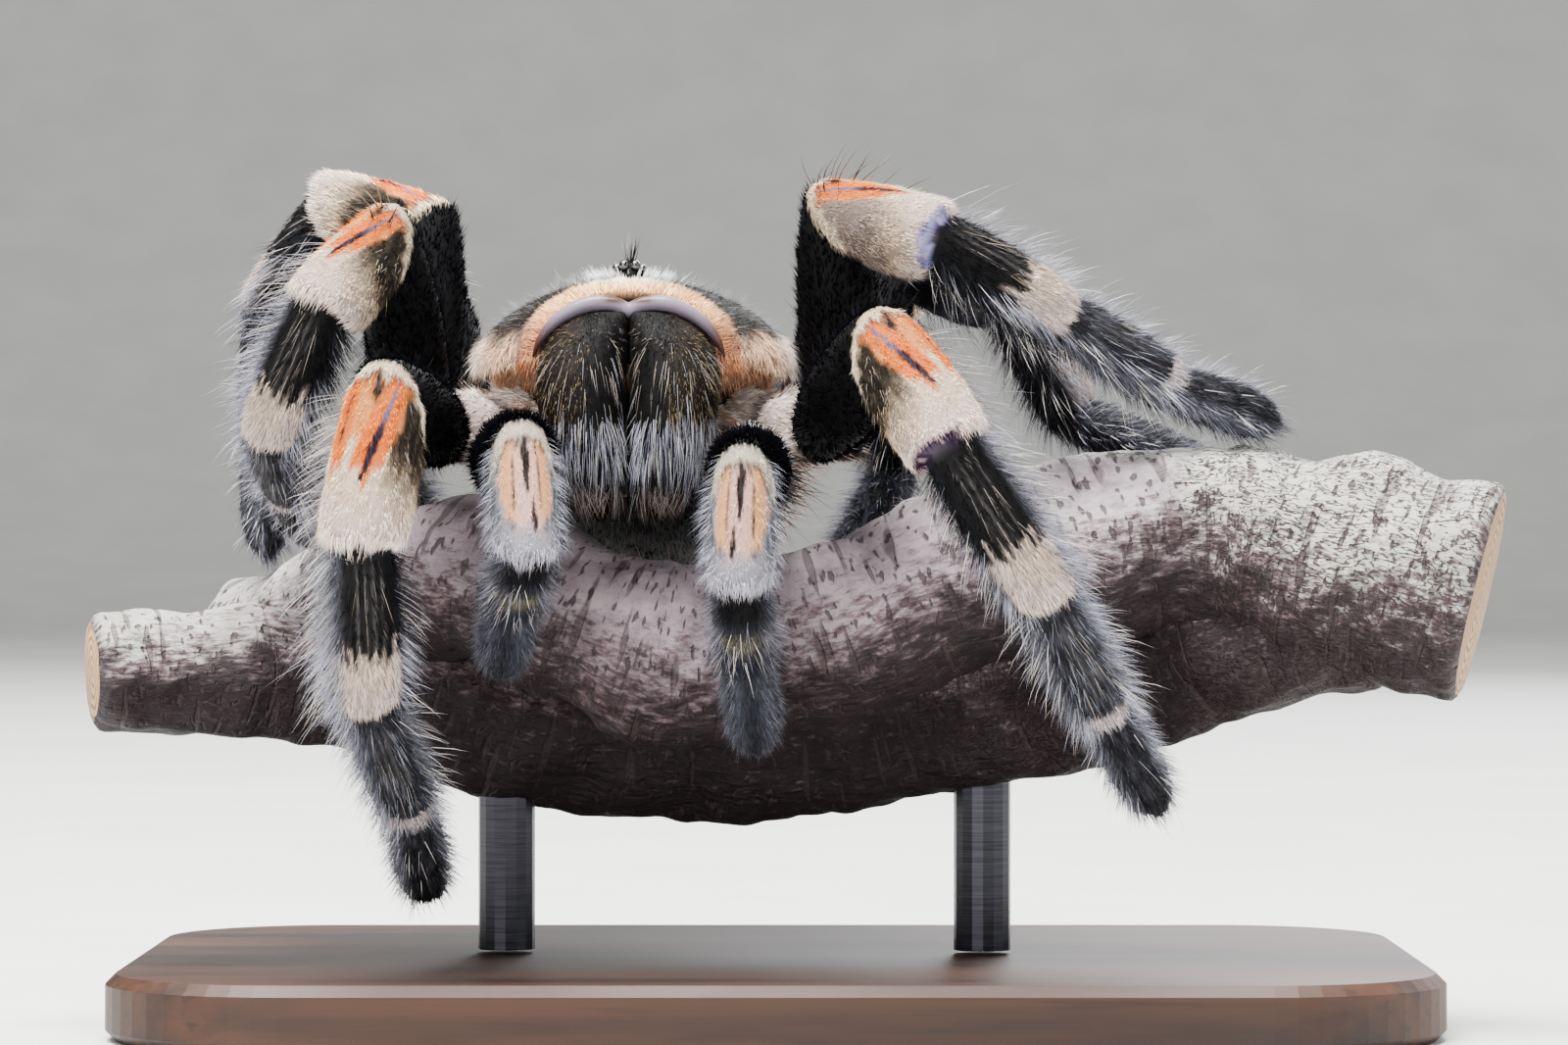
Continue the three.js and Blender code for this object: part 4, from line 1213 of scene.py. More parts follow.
def spikes(roots, length, width, lift, bend, rings):
    """The points of each root's spike, row by row: three to a ring, and the tip."""
    outward, lie = roots["outward"], roots["along"]
    across = np.cross(outward, lie)
    centre = roots["point"] - outward * SUNK
    taper = np.linspace(1, 0, rings + 1)[:-1] ** 0.75
    rows = []
    for k in range(rings):
        angle = np.radians(lift - bend * k / rings)[:, None]
        direction = lie * np.cos(angle) + outward * np.sin(angle)
        half = (width * taper[k] / 2)[:, None]
        corners = [across * half, np.cross(direction, across) * half * 2 * THICKNESS, -across * half]
        rows += [centre + corner for corner in corners]
        centre = centre + direction * (length / rings)[:, None]
    return np.stack(rows + [centre], axis=1)


print("a short tuft has", len(spike_faces(1)), "faces and a long bristle", len(spike_faces(3)))

# %% The coat class
UV_PATCH = 0.003  # how wide each tuft's patch is on the coat's map


class Coat:
    """A piece of the coat in the making: the spikes of any number of layers."""

    def __init__(self, name):
        self.name, self.points, self.faces, self.tints, self.maps = name, [], [], [], []
        self.count = 0

    def add(self, roots, strip, length, width, lift, bend, rings, tint, root, tip):
        """Adds spikes. strip is (which, of how many) of the map's strips this patch unwraps to."""
        self.points.append(spikes(roots, length, width, lift, bend, rings).reshape(-1, 3))
        per = 3 * rings + 1
        first = self.count + np.arange(len(roots["u"])) * per
        self.faces.append((spike_faces(rings)[None] + first[:, None, None]).reshape(-1, 3))
        # painted shade: a tuft's colour runs from the root shade near the skin, where the hairs shade one
        # another, to the tip shade, which is partly the hair's pale tips and partly painted light
        share = np.repeat(np.arange(rings + 1) / rings, 3)[:per]
        shade = root + (tip - root) * share
        self.tints.append((tint[:, None, :] * shade[None, :, None]).reshape(-1, 3))
        corner = np.append(np.tile([0.0, 0.5, 1.0], rings), 0.5)
        place = np.stack([roots["u"], (strip[0] + roots["v"] % 1.0) / strip[1]], axis=1) * (1 - UV_PATCH)
        self.maps.append((place[:, None] + UV_PATCH * np.stack([share, corner], 1)[None]).reshape(-1, 2))
        self.count += len(first) * per

    def piece(self, finish):
        """The finished piece, on its body and with its finish."""
        points, faces = placed(np.vstack(self.points)), np.vstack(self.faces).astype(np.int32)
        mesh = bpy.data.meshes.new(self.name)
        mesh.vertices.add(len(points))
        mesh.vertices.foreach_set("co", points.astype(np.float32).ravel())
        mesh.loops.add(faces.size)
        mesh.loops.foreach_set("vertex_index", faces.ravel())
        mesh.polygons.add(len(faces))
        mesh.polygons.foreach_set("loop_start", np.arange(0, faces.size, 3, dtype=np.int32))
        mesh.update(calc_edges=True)
        store_colour(mesh, np.clip(np.vstack(self.tints), 0, 1))
        bake_map = mesh.uv_layers.new(name="OFBake")
        places = np.vstack(self.maps)[faces.ravel()].astype(np.float32)
        bake_map.data.foreach_set("uv", places.ravel())
        mesh.shade_smooth()
        mesh.materials.append(finish)
        made = linked(self.name, mesh)
        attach(made, "root")
        print(f"{self.name}: {len(faces)} triangles")


print(f"a side of the map has room for {1 / UV_PATCH:.0f} tufts' patches")


# %% Colours for tufts
def painted(base, random):
    """The markings' own colour."""
    return base


def drawn(choices, base, random):
    """One of the choices for each tuft."""
    return np.array(choices)[random.integers(0, len(choices), len(base))]


def one_of(*cards):
    """A colour drawn from a few cards."""
    return lambda base, random: drawn(cards, base, random)


def varied(*shades):
    """The markings' own colour, lightened or darkened by one of these."""
    return lambda base, random: base * drawn(shades, base, random)[:, None]


def smoky(*shades):
    """Blue-grey, as dark as the markings there but never lighter than smoke, times one of these."""
    def tint(base, random):
        light = np.minimum(base.mean(axis=1), 1.3 * SMOKE.mean())
        light = light * drawn(shades, base, random)
        return SMOKE / SMOKE.mean() * light[:, None]
    return tint


print("four shades drawn:", drawn([0.8, 1.0, 1.2], range(4), np.random.default_rng(3)))


# %% Layers of the coat
def layer(density, length, width, lift, bend=0, rings=1, yaw=10, tint=painted, root=0.6, tip=1.15,
          clump=1.6, wisp=5):
    """One layer of a coat: millimetres, degrees, root and tip as painted shades, and how it draws into wisps.
    """
    return dict(
        density=density, length=length, width=width, lift=lift, bend=bend, rings=rings, yaw=yaw,
        tint=tint, root=root, tip=tip, clump=clump, wisp=wisp,
    )


BARE_LOSS = 1.4  # how surely bare skin loses its tufts
COVERED = 0.65  # the share of its length over which a tuft covers the markings below its root
ENDLESS = 1e6  # taken as the length of a patch that has none, where a tuft has its root's own colour
CLUMP_SEED, CLUMP_SHADE, LIFT_SEED = 31, 0.08, 32
SHADE_SPREAD, LENGTH_SPREAD, WIDTH_SPREAD, LIFT_SPREAD = 0.13, 0.16, 0.15, 6


def grow(coat, patch, strip, random, spec, direction_of=None):
    """Adds one layer of tufts on a patch, along its lie or a direction worked out for each root."""
    roots = scatter(patch, spec["density"], random)
    _, bare = patch.paint(roots["u"], roots["v"], roots["point"])
    kept = random.random(len(bare)) > bare * BARE_LOSS
    roots = {key: value[kept] for key, value in roots.items()}
    n = int(kept.sum())
    if n == 0:
        return
    length = spec["length"]
    if callable(length):
        length = length(roots["u"], signed_angle(roots["v"]))
    covered = np.minimum(roots["u"] + COVERED * length / patch.facts.get("length", ENDLESS), 1)
    base, _ = patch.paint(covered, roots["v"], roots["point"])
    outward = roots["outward"]
    along = direction_of(roots["point"]) if direction_of else roots["along"]
    lie = unit(along - outward * dot(along, outward))
    clump = ripple(roots["point"], spec["clump"], CLUMP_SEED)
    turn = np.radians(spec["yaw"] * random.normal(0, 1, n) + spec["wisp"] * clump)[:, None]
    roots["along"] = lie * np.cos(turn) + np.cross(outward, lie) * np.sin(turn)
    shade = np.exp(random.normal(0, SHADE_SPREAD, n) + CLUMP_SHADE * clump)
    coat.add(
        roots, strip,
        length=length * np.exp(random.normal(0, LENGTH_SPREAD, n)),
        width=spec["width"] * np.exp(random.normal(0, WIDTH_SPREAD, n)),
        lift=spec["lift"] + LIFT_SPREAD * ripple(roots["point"], spec["clump"], LIFT_SEED)
        + random.normal(0, LIFT_SPREAD, n),
        bend=spec["bend"], rings=spec["rings"], tint=spec["tint"](base, random) * shade[:, None],
        root=spec["root"], tip=spec["tip"],
    )


print(f"tufts of one layer differ in length by about {100 * LENGTH_SPREAD:.0f} %")

# %% [markdown]
# ## The limbs' coats
#
# Close to, there are four kinds of hair. A short dense pile gives the colour. On the flanks, off the
# black band that runs along the top of a leg, stands a soft blue-grey fringe with pale tips. Long tan
# hairs lie along the black. Last come the long stiff bristles, few and far apart, which catch the
# light. Thighs have hardly more than the pile, as black velvet. Each kind is one layer, and a recipe
# for each segment lists its layers, so that hair is changed by a number in a table.


# %% Where the limbs' hair grows
def everywhere(amount):
    """The same number of tufts to the square millimetre all over."""
    return lambda u, a, points: np.full(len(u), float(amount))


def off_black(amount, outer=14, inner=74):
    """The flanks, off the black band, thinner underneath."""
    def density(u, a, points):
        off = np.maximum(soft_step(a, outer, outer + 24), soft_step(-a, inner, inner + 24))
        return amount * off * (1 - 0.5 * soft_step(np.abs(a), 135, 165))
    return density


def on_top(amount, start, end, low=-60, high=60):
    """Between two places along a segment and two angles."""
    def density(u, a, points):
        inside = soft_step(u, start - 0.03, start + 0.03) * (1 - soft_step(u, end - 0.03, end + 0.03))
        return amount * inside * (a > low) * (a < high)
    return density


def on_lines(amount):
    """Along the thin tan lines."""
    return lambda u, a, points: amount * tan_lines(u, a) * (u < 0.62)


print("fringe at 0, 30 and 90 degrees:", off_black(10)(np.zeros(3), np.array([0, 30, 90]), None))

# %% Colours and lengths of the limbs' hair
FRINGE = smoky(0.8, 1.1, 1.5, 2.2)
BRISTLE = one_of(rgb(216, 212, 206), ASH, SMOKE * 1.4)
GREY_BRISTLE = one_of(rgb(200, 196, 190), SMOKE * 1.6, ASH)
SILVER_HAIR = one_of(FROST * 0.7, SMOKE * 1.3, SMOKE)
FLANK_HAIR = one_of(rgb(168, 150, 122), rgb(110, 98, 80), OLIVE, ASH * 0.8)
TAN_HAIR = one_of(rgb(150, 132, 112), rgb(190, 176, 156), ASH * 0.8)
DARK_HAIR = one_of(rgb(66, 48, 40), rgb(50, 40, 36), TAN * 0.7)


def knee_length(u, a):
    """Short on the knee, longer where the skirt hangs over the joint, but not over the bare fold."""
    return 0.8 + 0.6 * soft_step(u, 0.86, 0.98) * (1 - hump(a, CREASE_ANGLE, CREASE_WIDTH))


def palp_knee_length(u, a):
    """The same for the palp, a little shorter."""
    return 0.7 + 0.5 * soft_step(u, 0.8, 0.95)


print(f"a knee's hair is {knee_length(0, 0):.1f} mm long, and {knee_length(1, 90):.1f} mm at its skirt")

# %% Recipes for the limbs' coats
# each layer's root and tip are painted shades: darker near the skin, lighter at the tips, partly the hair's
# own pale tips
LAYERS = {  # each segment's layers; a palp or leg with its own recipe has its name before the segment's
    "femur": [
        layer(everywhere(12), 0.85, 0.13, 32, yaw=12),
        layer(everywhere(0.5), 1.7, 0.05, 42, 20, 2, 12, one_of(rgb(40, 39, 50), INK)),
    ],
    "palp_femur": [
        layer(everywhere(16), 1.2, 0.12, 44, yaw=12),
        layer(on_top(14, 0.0, 0.12, -110, 110), 1.5, 0.055, 66, yaw=8, tint=one_of(FROST, ASH * 1.2)),
    ],
    "patella": [
        layer(everywhere(40), knee_length, 0.095, 15, yaw=5, root=0.95, tip=1.3),
        layer(on_top(4.5, 0.05, 1.0, 70, 150), 3.4, 0.08, 58, 34, 3, 8, BRISTLE, 0.6, 1.2, 1.2, 10),
        layer(on_top(2.2, 0.1, 0.9, -120, -50), 1.8, 0.055, 20, 8, 2, 8, FLANK_HAIR),
    ],
    "palp_patella": [
        layer(everywhere(40), palp_knee_length, 0.085, 15, yaw=5, root=0.9, tip=1.2),
        layer(off_black(9, 42, 42), 1.7, 0.055, 46, 16, 2, 6, SILVER_HAIR, 0.6, 1.2, 1.0, 12),
    ],
    "tibia": [
        layer(everywhere(15), 0.95, 0.12, 18, yaw=8),
        layer(on_top(22, 0.64, 1.0, -110, 100), 1.1, 0.1, 17, yaw=6, root=0.8),
        layer(off_black(15), 2.5, 0.07, 46, 0, 1, 5, FRINGE, 0.6, 1.5, 1.0, 14),
        layer(off_black(1.3), 3.4, 0.075, 54, 26, 3, 9, BRISTLE, 0.7, 1.2),
        layer(on_top(2.6, 0.0, 0.9, 45, 140), 4.6, 0.085, 50, 26, 3, 8, GREY_BRISTLE, 0.6, 1.2, 1.4, 12),
        layer(on_lines(3), 3.2, 0.045, 10, 3, 2, 3, TAN_HAIR),
    ],
    "palp_tibia": [
        layer(everywhere(15), 1.0, 0.11, 24, yaw=9),
        layer(off_black(12, 20, 20), 1.9, 0.06, 46, 0, 1, 6, FRINGE, 0.45, 1.4, 1.0, 13),
        layer(on_top(1.4, 0.3, 0.9, -60, 60), 2.6, 0.06, 26, 10, 3, 9, BRISTLE, 0.8, 1.2),
    ],
    "metatarsus": [
        layer(everywhere(14), 1.0, 0.11, 20, yaw=8),
        layer(off_black(15, 4, 60), 2.2, 0.07, 44, 0, 1, 5, FRINGE, 0.6, 1.5, 1.0, 14),
        layer(everywhere(2), 1.9, 0.055, 24, 8, 2, 8, one_of(SMOKE, SLATE * 1.6, FROST * 0.6)),
        layer(off_black(1.5, 4, 60), 3.3, 0.075, 54, 26, 3, 9, BRISTLE, 0.7, 1.2),
        layer(on_lines(3), 2.8, 0.045, 10, 3, 2, 3, TAN_HAIR),
    ],
    "tarsus": [
        layer(everywhere(16), 0.85, 0.11, 22, yaw=8),
        layer(off_black(16, 0, 50), 1.7, 0.07, 42, 0, 1, 5, FRINGE, 0.6, 1.5, 1.0, 14),
        layer(off_black(0.9, 0, 50), 2.5, 0.07, 50, 22, 3, 9, BRISTLE, 0.7, 1.2),
        layer(on_top(0.7, 0.1, 0.6, -50, 20), 2.2, 0.06, 24, 8, 3, 8, BRISTLE, 0.8, 1.2),
    ],
    "palp_tarsus": [
        layer(everywhere(20), 0.85, 0.1, 22, yaw=8),
        layer(off_black(11, 15, 15), 1.3, 0.06, 38, 0, 1, 6, FRINGE, 0.45, 1.2, 1.0, 11),
    ],
    "coxa": [
        layer(everywhere(15), 0.95, 0.11, 26, yaw=10, root=0.7),
        layer(everywhere(1.6), 1.7, 0.06, 40, 15, 2, 12, one_of(SHELL_PINK, TAN, SAND)),
    ],
}
LAYERS["leg2_patella"] = LAYERS["patella"] + [
    layer(on_top(0.9, 0.0, 0.4, -50, 60), 3.3, 0.1, 60, 34, 3, 12, DARK_HAIR, 0.8, 1.2, 1.4, 14),
]
print(len(LAYERS), "recipes")


# %% Grow the limbs' coats
def coat_finish(name, roughness, sheen, specular=0.35):
    """Hair: the stored colour, mottled a little, with a soft sheen."""
    finish = Finish(
        name, Roughness=roughness, Sheen_Weight=sheen, Sheen_Roughness=0.4, Specular_IOR_Level=specular)
    mottle = finish.noise(finish.object_place(), 900.0, 2.0)
    tint = finish.attribute("tint")
    darker = finish.node("ShaderNodeVectorMath", {"operation": "SCALE"}, {0: tint, "Scale": 0.82})
    return finish.paint(Base_Color=finish.mix(mottle.between(0.35, 0.65), darker, tint))


COATS = {  # piece, segment, slot, roughness, sheen, specular
    "thigh_coat": ("femur", "femur_velvet", 0.8, 0.0, 0.01),
    "knee_coat": ("patella", "knee_hair", 0.65, 0.0, 0.06),
    "shin_coat": ("tibia", "shin_hair", 0.5, 0.0, 0.08),
    "foot_coat": ("metatarsus", "foot_hair", 0.5, 0.0, 0.1),
    "toe_coat": ("tarsus", "foot_hair", 0.5, 0.0, 0.1),
    "coxa_coat": ("coxa", "coxa_hair", 0.65, 0.05, 0.2),
}
random = np.random.default_rng(7)
every_limb_patch = sum(limbs.values(), [])
for piece_name, (segment, slot, roughness, sheen, specular) in COATS.items():
    finish = coat_finish(piece_name + "_finish", roughness, sheen, specular)
    for side in ("left", "right"):
        patches = [p for p in every_limb_patch if p.facts["side"] == side and p.facts["segment"] == segment]
        coat = Coat(f"{piece_name}_{side}")
        for number, patch in enumerate(patches):
            own_recipe = f"{patch.facts['kind']}_{segment}"
            for spec in LAYERS.get(own_recipe, LAYERS[segment]):
                grow(coat, patch, (number, len(patches)), random, spec)
        coat.piece(finish)

# %% [markdown]
# ## The head and body's coats
#
# The head gets the most care. A band of short dense peach hair covers the rolled edge over the jaws
# and stands out from it like a brush. Pale tufts flank the eyes. The jaws carry golden flecks on their
# outer halves, long pale bristles that hang down the middle, and a beard of blue-white bristles over
# the fangs.


# %% Directions of the body's hair
def from_fovea(points):
    """Out from the pit in the middle of the shield."""
    return unit(points - (0.0, FOVEA_Y - 2.5, 54.0))


def up_and_over(points):
    """Outwards round the arch over the jaws, and a little forward."""
    return unit((points - (0.0, 0.0, 50.0)) * (1.0, 0.0, 1.0) + (0.0, -2.5, 0.0))


def downwards(points):
    """Straight down."""
    return np.tile([0.0, -0.1, -1.0], (len(points), 1))


def upwards(points):
    """Up, fanning a little outwards and forwards."""
    return unit(np.stack([0.3 * points[:, 0], np.full(len(points), -0.35), np.full(len(points), 1.0)], 1))


print("hair over the middle of the jaws points", up_and_over(np.array([[0.0, 4.7, 56.0]]))[0].round(2))


# %% Carapace coat
def on_shield(amount):
    """The top of the shield, behind the band."""
    def density(u, a, points):
        top = points[:, 2] > CARAPACE_FOOT + 0.05
        return amount * top * soft_step(points[:, 1], 5.6, 6.4)
    return density


def on_band(amount):
    """The rolled edge over the jaws."""
    def density(u, a, points):
        return amount * (points[:, 2] > CARAPACE_FOOT + 0.1) * (1 - soft_step(points[:, 1], 5.9, 6.5))
    return density


def on_band_ends(amount):
    """The two low ends of the band."""
    def density(u, a, points):
        height = points[:, 2] - CARAPACE_FOOT
        return amount * (height > 0.05) * (1 - soft_step(height, 0.5, 1.6)) * (points[:, 1] < 6.6)
    return density


def on_margin(amount):
    """The shield's low outer edge."""
    def density(u, a, points):
        height = points[:, 2] - CARAPACE_FOOT
        return amount * (height > 0.05) * (1 - soft_step(height, 1.6, 3.2)) * (points[:, 1] > 6.2)
    return density


def beside_eyes(amount):
    """Two tufts, one on each side of the eyes' mound."""
    def density(u, a, points):
        x, y = np.abs(points[:, 0]), points[:, 1]
        return amount * (points[:, 2] > 55) * hump(x, 1.8, 1.0) * hump(y, 6.6, 0.7)
    return density


SHIELD_HAIR = one_of(SMOKE, SMOKE * 1.2, ASH)
BROW_HAIR = one_of(FROST, FROST * 0.9, SHELL_PINK)
SHIELD_LAYERS = [
    (layer(on_shield(15), 0.75, 0.11, 16, yaw=12), from_fovea),
    (layer(on_shield(2.2), 1.4, 0.045, 46, yaw=12, tint=SHIELD_HAIR, tip=1.5), from_fovea),
    (layer(on_band(70), 0.62, 0.085, 32, yaw=8, root=0.75), up_and_over),
    (layer(on_band_ends(60), 1.5, 0.085, 24, 8, 2, 10, root=0.8), downwards),
    (layer(on_margin(20), 1.7, 0.075, 30, 34, 2, 10, root=0.8, tip=1.3), from_fovea),
    (layer(beside_eyes(55), 1.2, 0.075, 62, yaw=8, tint=BROW_HAIR, tip=1.2), upwards),
]
coat = Coat("carapace_coat")
for spec, direction_of in SHIELD_LAYERS:
    grow(coat, bodies["carapace"], (0, 1), random, spec, direction_of)
coat.piece(coat_finish("carapace_hair", 0.6, 0.12))


# %% Jaw coats
def on_jaw(amount, low, high, inner=0.0, outer=8.0, edge=0.5):
    """The front of a jaw between two heights and two distances from the midline."""
    def density(u, a, points):
        x, z = np.abs(points[:, 0]), points[:, 2]
        inside = soft_step(z, low - edge, low + edge) * (1 - soft_step(z, high - edge, high + edge))
        inside = inside * soft_step(x, inner - 0.4, inner + 0.4)
        inside = inside * (1 - soft_step(x, outer - 0.3, outer + 0.3))
        round_front = (a % 360) / 360 / ARCH_SHARE
        return amount * inside * (round_front > 0.15) * (round_front < 0.93)
    return density


GOLD = one_of(rgb(184, 162, 118), rgb(146, 127, 92), rgb(104, 90, 64), rgb(72, 61, 44))
BEARD = one_of(rgb(200, 202, 214), rgb(160, 163, 184), rgb(112, 116, 138), rgb(226, 226, 232))
PALE_HAIR = one_of(rgb(184, 172, 154), rgb(150, 140, 128), FROST * 0.6)
JAW_PILE = varied(0.4, 0.8, 1.2, 1.8)
FOOT_HAIR = one_of(rgb(118, 108, 106), rgb(74, 52, 48), rgb(52, 36, 34), ASH)
TOP_HAIR = one_of(rgb(36, 30, 25), rgb(16, 14, 14), rgb(56, 46, 36))
JAW_LAYERS = [
    layer(on_jaw(34, 40, 55), 0.7, 0.062, 18, yaw=7, tint=JAW_PILE, root=0.5),
    layer(on_jaw(17, 44.8, 52.8, 3.0), 0.62, 0.055, 27, yaw=6, tint=GOLD, root=0.5, tip=1.3),
    layer(on_jaw(5, 52.2, 54.2, 1.2), 0.4, 0.05, 34, yaw=20, tint=GOLD, root=0.5, tip=1.1),
    layer(on_jaw(14, 51.3, 54.5, 0.1), 0.8, 0.05, 30, yaw=14, tint=TOP_HAIR, root=0.6),
    layer(on_jaw(1.6, 45.4, 52.2, 0.5, 6.2), 3.0, 0.03, 14, 9, 3, 3, PALE_HAIR, 0.6, 1.05, 1.6, 1),
    layer(on_jaw(5, 51.6, 53.4, 0.5, 2.6), 0.75, 0.045, 30, yaw=26, tint=PALE_HAIR),
    layer(on_jaw(10, 42.9, 46.6, 0.4), 2.7, 0.036, 17, 10, 2, 3, BEARD, 0.3, 1.3, 0.9, 3),
    layer(on_jaw(12, 40.5, 41.8), 2.7, 0.055, 16, 6, 2, 12, FOOT_HAIR, 0.3),
]
coat = Coat("jaw_coat")
for number, name in enumerate(("chelicera_left", "chelicera_right")):
    for spec in JAW_LAYERS:
        grow(coat, bodies[name], (number, 2), random, spec, downwards)
coat.piece(coat_finish("jaw_hair", 0.55, 0.0, 0.06))


# %% Abdomen and chest coats
def on_abdomen(amount):
    """Thin at the waist and full behind."""
    return lambda u, a, points: amount * soft_step(u, 0.12, 0.5)


ABDOMEN_HAIR = one_of(rgb(128, 78, 56), rgb(92, 58, 46), rgb(164, 132, 112), INK, INK * 2)
coat = Coat("abdomen_coat")
for spec in (
    layer(everywhere(10), 1.2, 0.14, 22, yaw=12),
    layer(on_abdomen(1.7), 4.4, 0.09, 38, 22, 2, 14, ABDOMEN_HAIR, 0.6, 1.2),
):
    grow(coat, bodies["abdomen"], (0, 1), random, spec)
coat.piece(coat_finish("abdomen_hair", 0.65, 0.02, 0.1))
coat = Coat("chest_coat")
grow(coat, bodies["chest"], (0, 1), random, layer(everywhere(9), 1.0, 0.13, 24, yaw=14))
coat.piece(coat_finish("chest_hair", 0.7, 0.0, 0.05))

# %% [markdown]
# ## Eyes, fangs and claws
#
# Eight small eyes sit on one low mound at the front of the shield: two round ones look ahead, the
# others to the sides and back. They are wet black beads, and a plain ball under a clear coat is enough
# for each. The fangs fold back under the jaws, and each foot ends in two small claws, nearly hidden by
# hair. Fangs and claws are swept as tubes.

# %% Eyes
MOUND = {"y": 7.5, "foot": 56.4, "length": 1.3, "width": 1.25, "height": 1.75}
EYE_BASE = 57.3
EYES = [  # one side's four: from the mound's middle to the side, back and up, and the radius
    [0.42, -0.85, 0.5, 0.4], [0.98, -0.45, 0.3, 0.34], [1.0, 0.4, 0.3, 0.32], [0.55, 0.75, 0.45, 0.27],
]


def bead(bm, centre, radius):
    """Adds a small ball, in the spider's millimetres."""
    made = bmesh.ops.create_uvsphere(bm, u_segments=20, v_segments=12, radius=1.0)["verts"]
    bmesh.ops.scale(bm, verts=made, vec=[radius * MM] * 3)
    bmesh.ops.translate(bm, verts=made, vec=Vector(placed(centre)))


bm = bmesh.new()
for side in (-1, 1):
    for x, dy, dz, radius in EYES:
        bead(bm, (side * x, MOUND["y"] + dy, EYE_BASE + dz), radius)
eyes = mesh_object("eyes", bm)
eye_finish = Finish("eye_glass", Roughness=0.08, Coat_Weight=1.0, Coat_Roughness=0.03)
depth = eye_finish.noise(eye_finish.object_place(), 2600.0, 2.0)
eye_colour = eye_finish.mix(depth.between(0.4, 0.7), rgba(6, 5, 5), rgba(34, 24, 18))
eyes.data.materials.append(eye_finish.paint(Base_Color=eye_colour))
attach(eyes, "root")
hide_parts("eye_tubercle")
print(f"eyes: {len(eyes.data.polygons)} faces")


# %% The eyes' mound and its tuft
def mound_point(u, v):
    """The mound, from its foot nearly to the middle of its top."""
    angle, rise = v * 2 * math.pi, u * math.pi / 2 * 0.97
    x = MOUND["width"] * np.cos(rise) * np.sin(angle)
    y = MOUND["y"] + MOUND["length"] * np.cos(rise) * np.cos(angle)
    return np.stack([x, y, MOUND["foot"] + MOUND["height"] * np.sin(rise)], axis=1)


def standing(points):
    """Nearly upright."""
    return unit(np.stack([0.3 * points[:, 0], 0.2 * (points[:, 1] - 7), np.full(len(points), 1.0)], 1))


def on_crown(amount):
    """The very top of the mound."""
    return lambda u, a, points: amount * soft_step(points[:, 2], 57.7, 57.9) * (np.abs(points[:, 0]) < 0.35)


mound = Patch(mound_point, plain_markings(INK), 14, 28)
eye_mound = build_skin("eye_mound", [[mound]])
eye_mound.data.materials.append(skin.data.materials[0])
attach(eye_mound, "root")
CROWN_HAIR = one_of(INK, rgb(60, 60, 64), rgb(120, 116, 116))
coat = Coat("eye_tuft")
grow(coat, mound, (0, 1), random, layer(on_crown(14), 2.1, 0.13, 84, 8, 3, 6, CROWN_HAIR), standing)
grow(coat, mound, (0, 1), random, layer(everywhere(16), 0.4, 0.07, 40, yaw=20))
coat.piece(coat_finish("tuft_hair", 0.6, 0.0, 0.1))

# %% Fangs and claws
FANG = [  # the left one, [x, y, z, radius]
    [2.2, 3.6, 40.8, 0.85], [2.2, 3.8, 40, 0.8], [2.2, 4.6, 39.4, 0.68], [2.1, 6.2, 39, 0.48],
    [2, 8.6, 39.2, 0.07],
]
CLAW_LENGTH, CLAW_SPREAD, CLAW_INSET = 0.8, 0.28, 0.9


def horn_patch(stations):
    """A fang or claw."""
    return Patch(tube_point(stations), plain_markings(rgb(26, 12, 10), 1.0), 14, 14)


def claw_patches():
    """Two claws at the tip of each limb, hooked down."""
    made = []
    for (kind, side), patches in limbs.items():
        joints, axes, dorsal, _ = limb_frame(kind, side)
        tip, axis, up = joints[-1], axes[-1], dorsal[-1]
        across = np.cross(axis, up)
        for k in (-1, 1):
            root = tip - axis * CLAW_INSET + across * k * CLAW_SPREAD
            middle = root + axis * CLAW_LENGTH + up * 0.15
            end = root + axis * CLAW_LENGTH * 1.4 - up * 0.3
            made.append(horn_patch([[*p, r] for p, r in ((root, 0.14), (middle, 0.11), (end, 0.02))]))
    return made


horn_finish = Finish("horn", Specular_IOR_Level=0.0)
grain = horn_finish.noise(horn_finish.object_place(), 700.0, 3.0)
horn_finish.bump(grain, 0.05 * MM, 0.4)
horn_colour = horn_finish.mix(grain.between(0.3, 0.7), rgba(8, 4, 4), rgba(20, 9, 8))
horn = horn_finish.paint(Base_Color=horn_colour, Roughness=grain * 0.15 + 0.4)
for name, stations in (("left", FANG), ("right", mirrored(FANG))):
    fang = build_skin(f"fang_{name}_horn", [[horn_patch(stations)]])
    fang.data.materials.append(horn)
    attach(fang, "root")
    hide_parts(f"fang_{name}")
claws = build_skin("claws", [[patch] for patch in claw_patches()])
claws.data.materials.append(horn)
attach(claws, "root")
print("two fangs and", len(claw_patches()), "claws")

# %% [markdown]
# ## The vine
#
# Two strands have grown together, each with smooth grey-mauve bark that is scored by short dark
# marks across the grain and cracks into scales where it is old. The underside is a dark red-brown,
# darkened further as painted shade where the bark faces down, and the back strand more so, as it lies
# in the front one's shade. The top of the front strand has painted light on its middle and thick end,
# and a painted shadow where the spider stands over it. The strands are tubes with lumps pushed in and
# out of them. A pattern in plain Object coordinates would cut straight through their bends, so the bark
# is drawn on a map that runs along and round each strand, and the marks follow the wood.

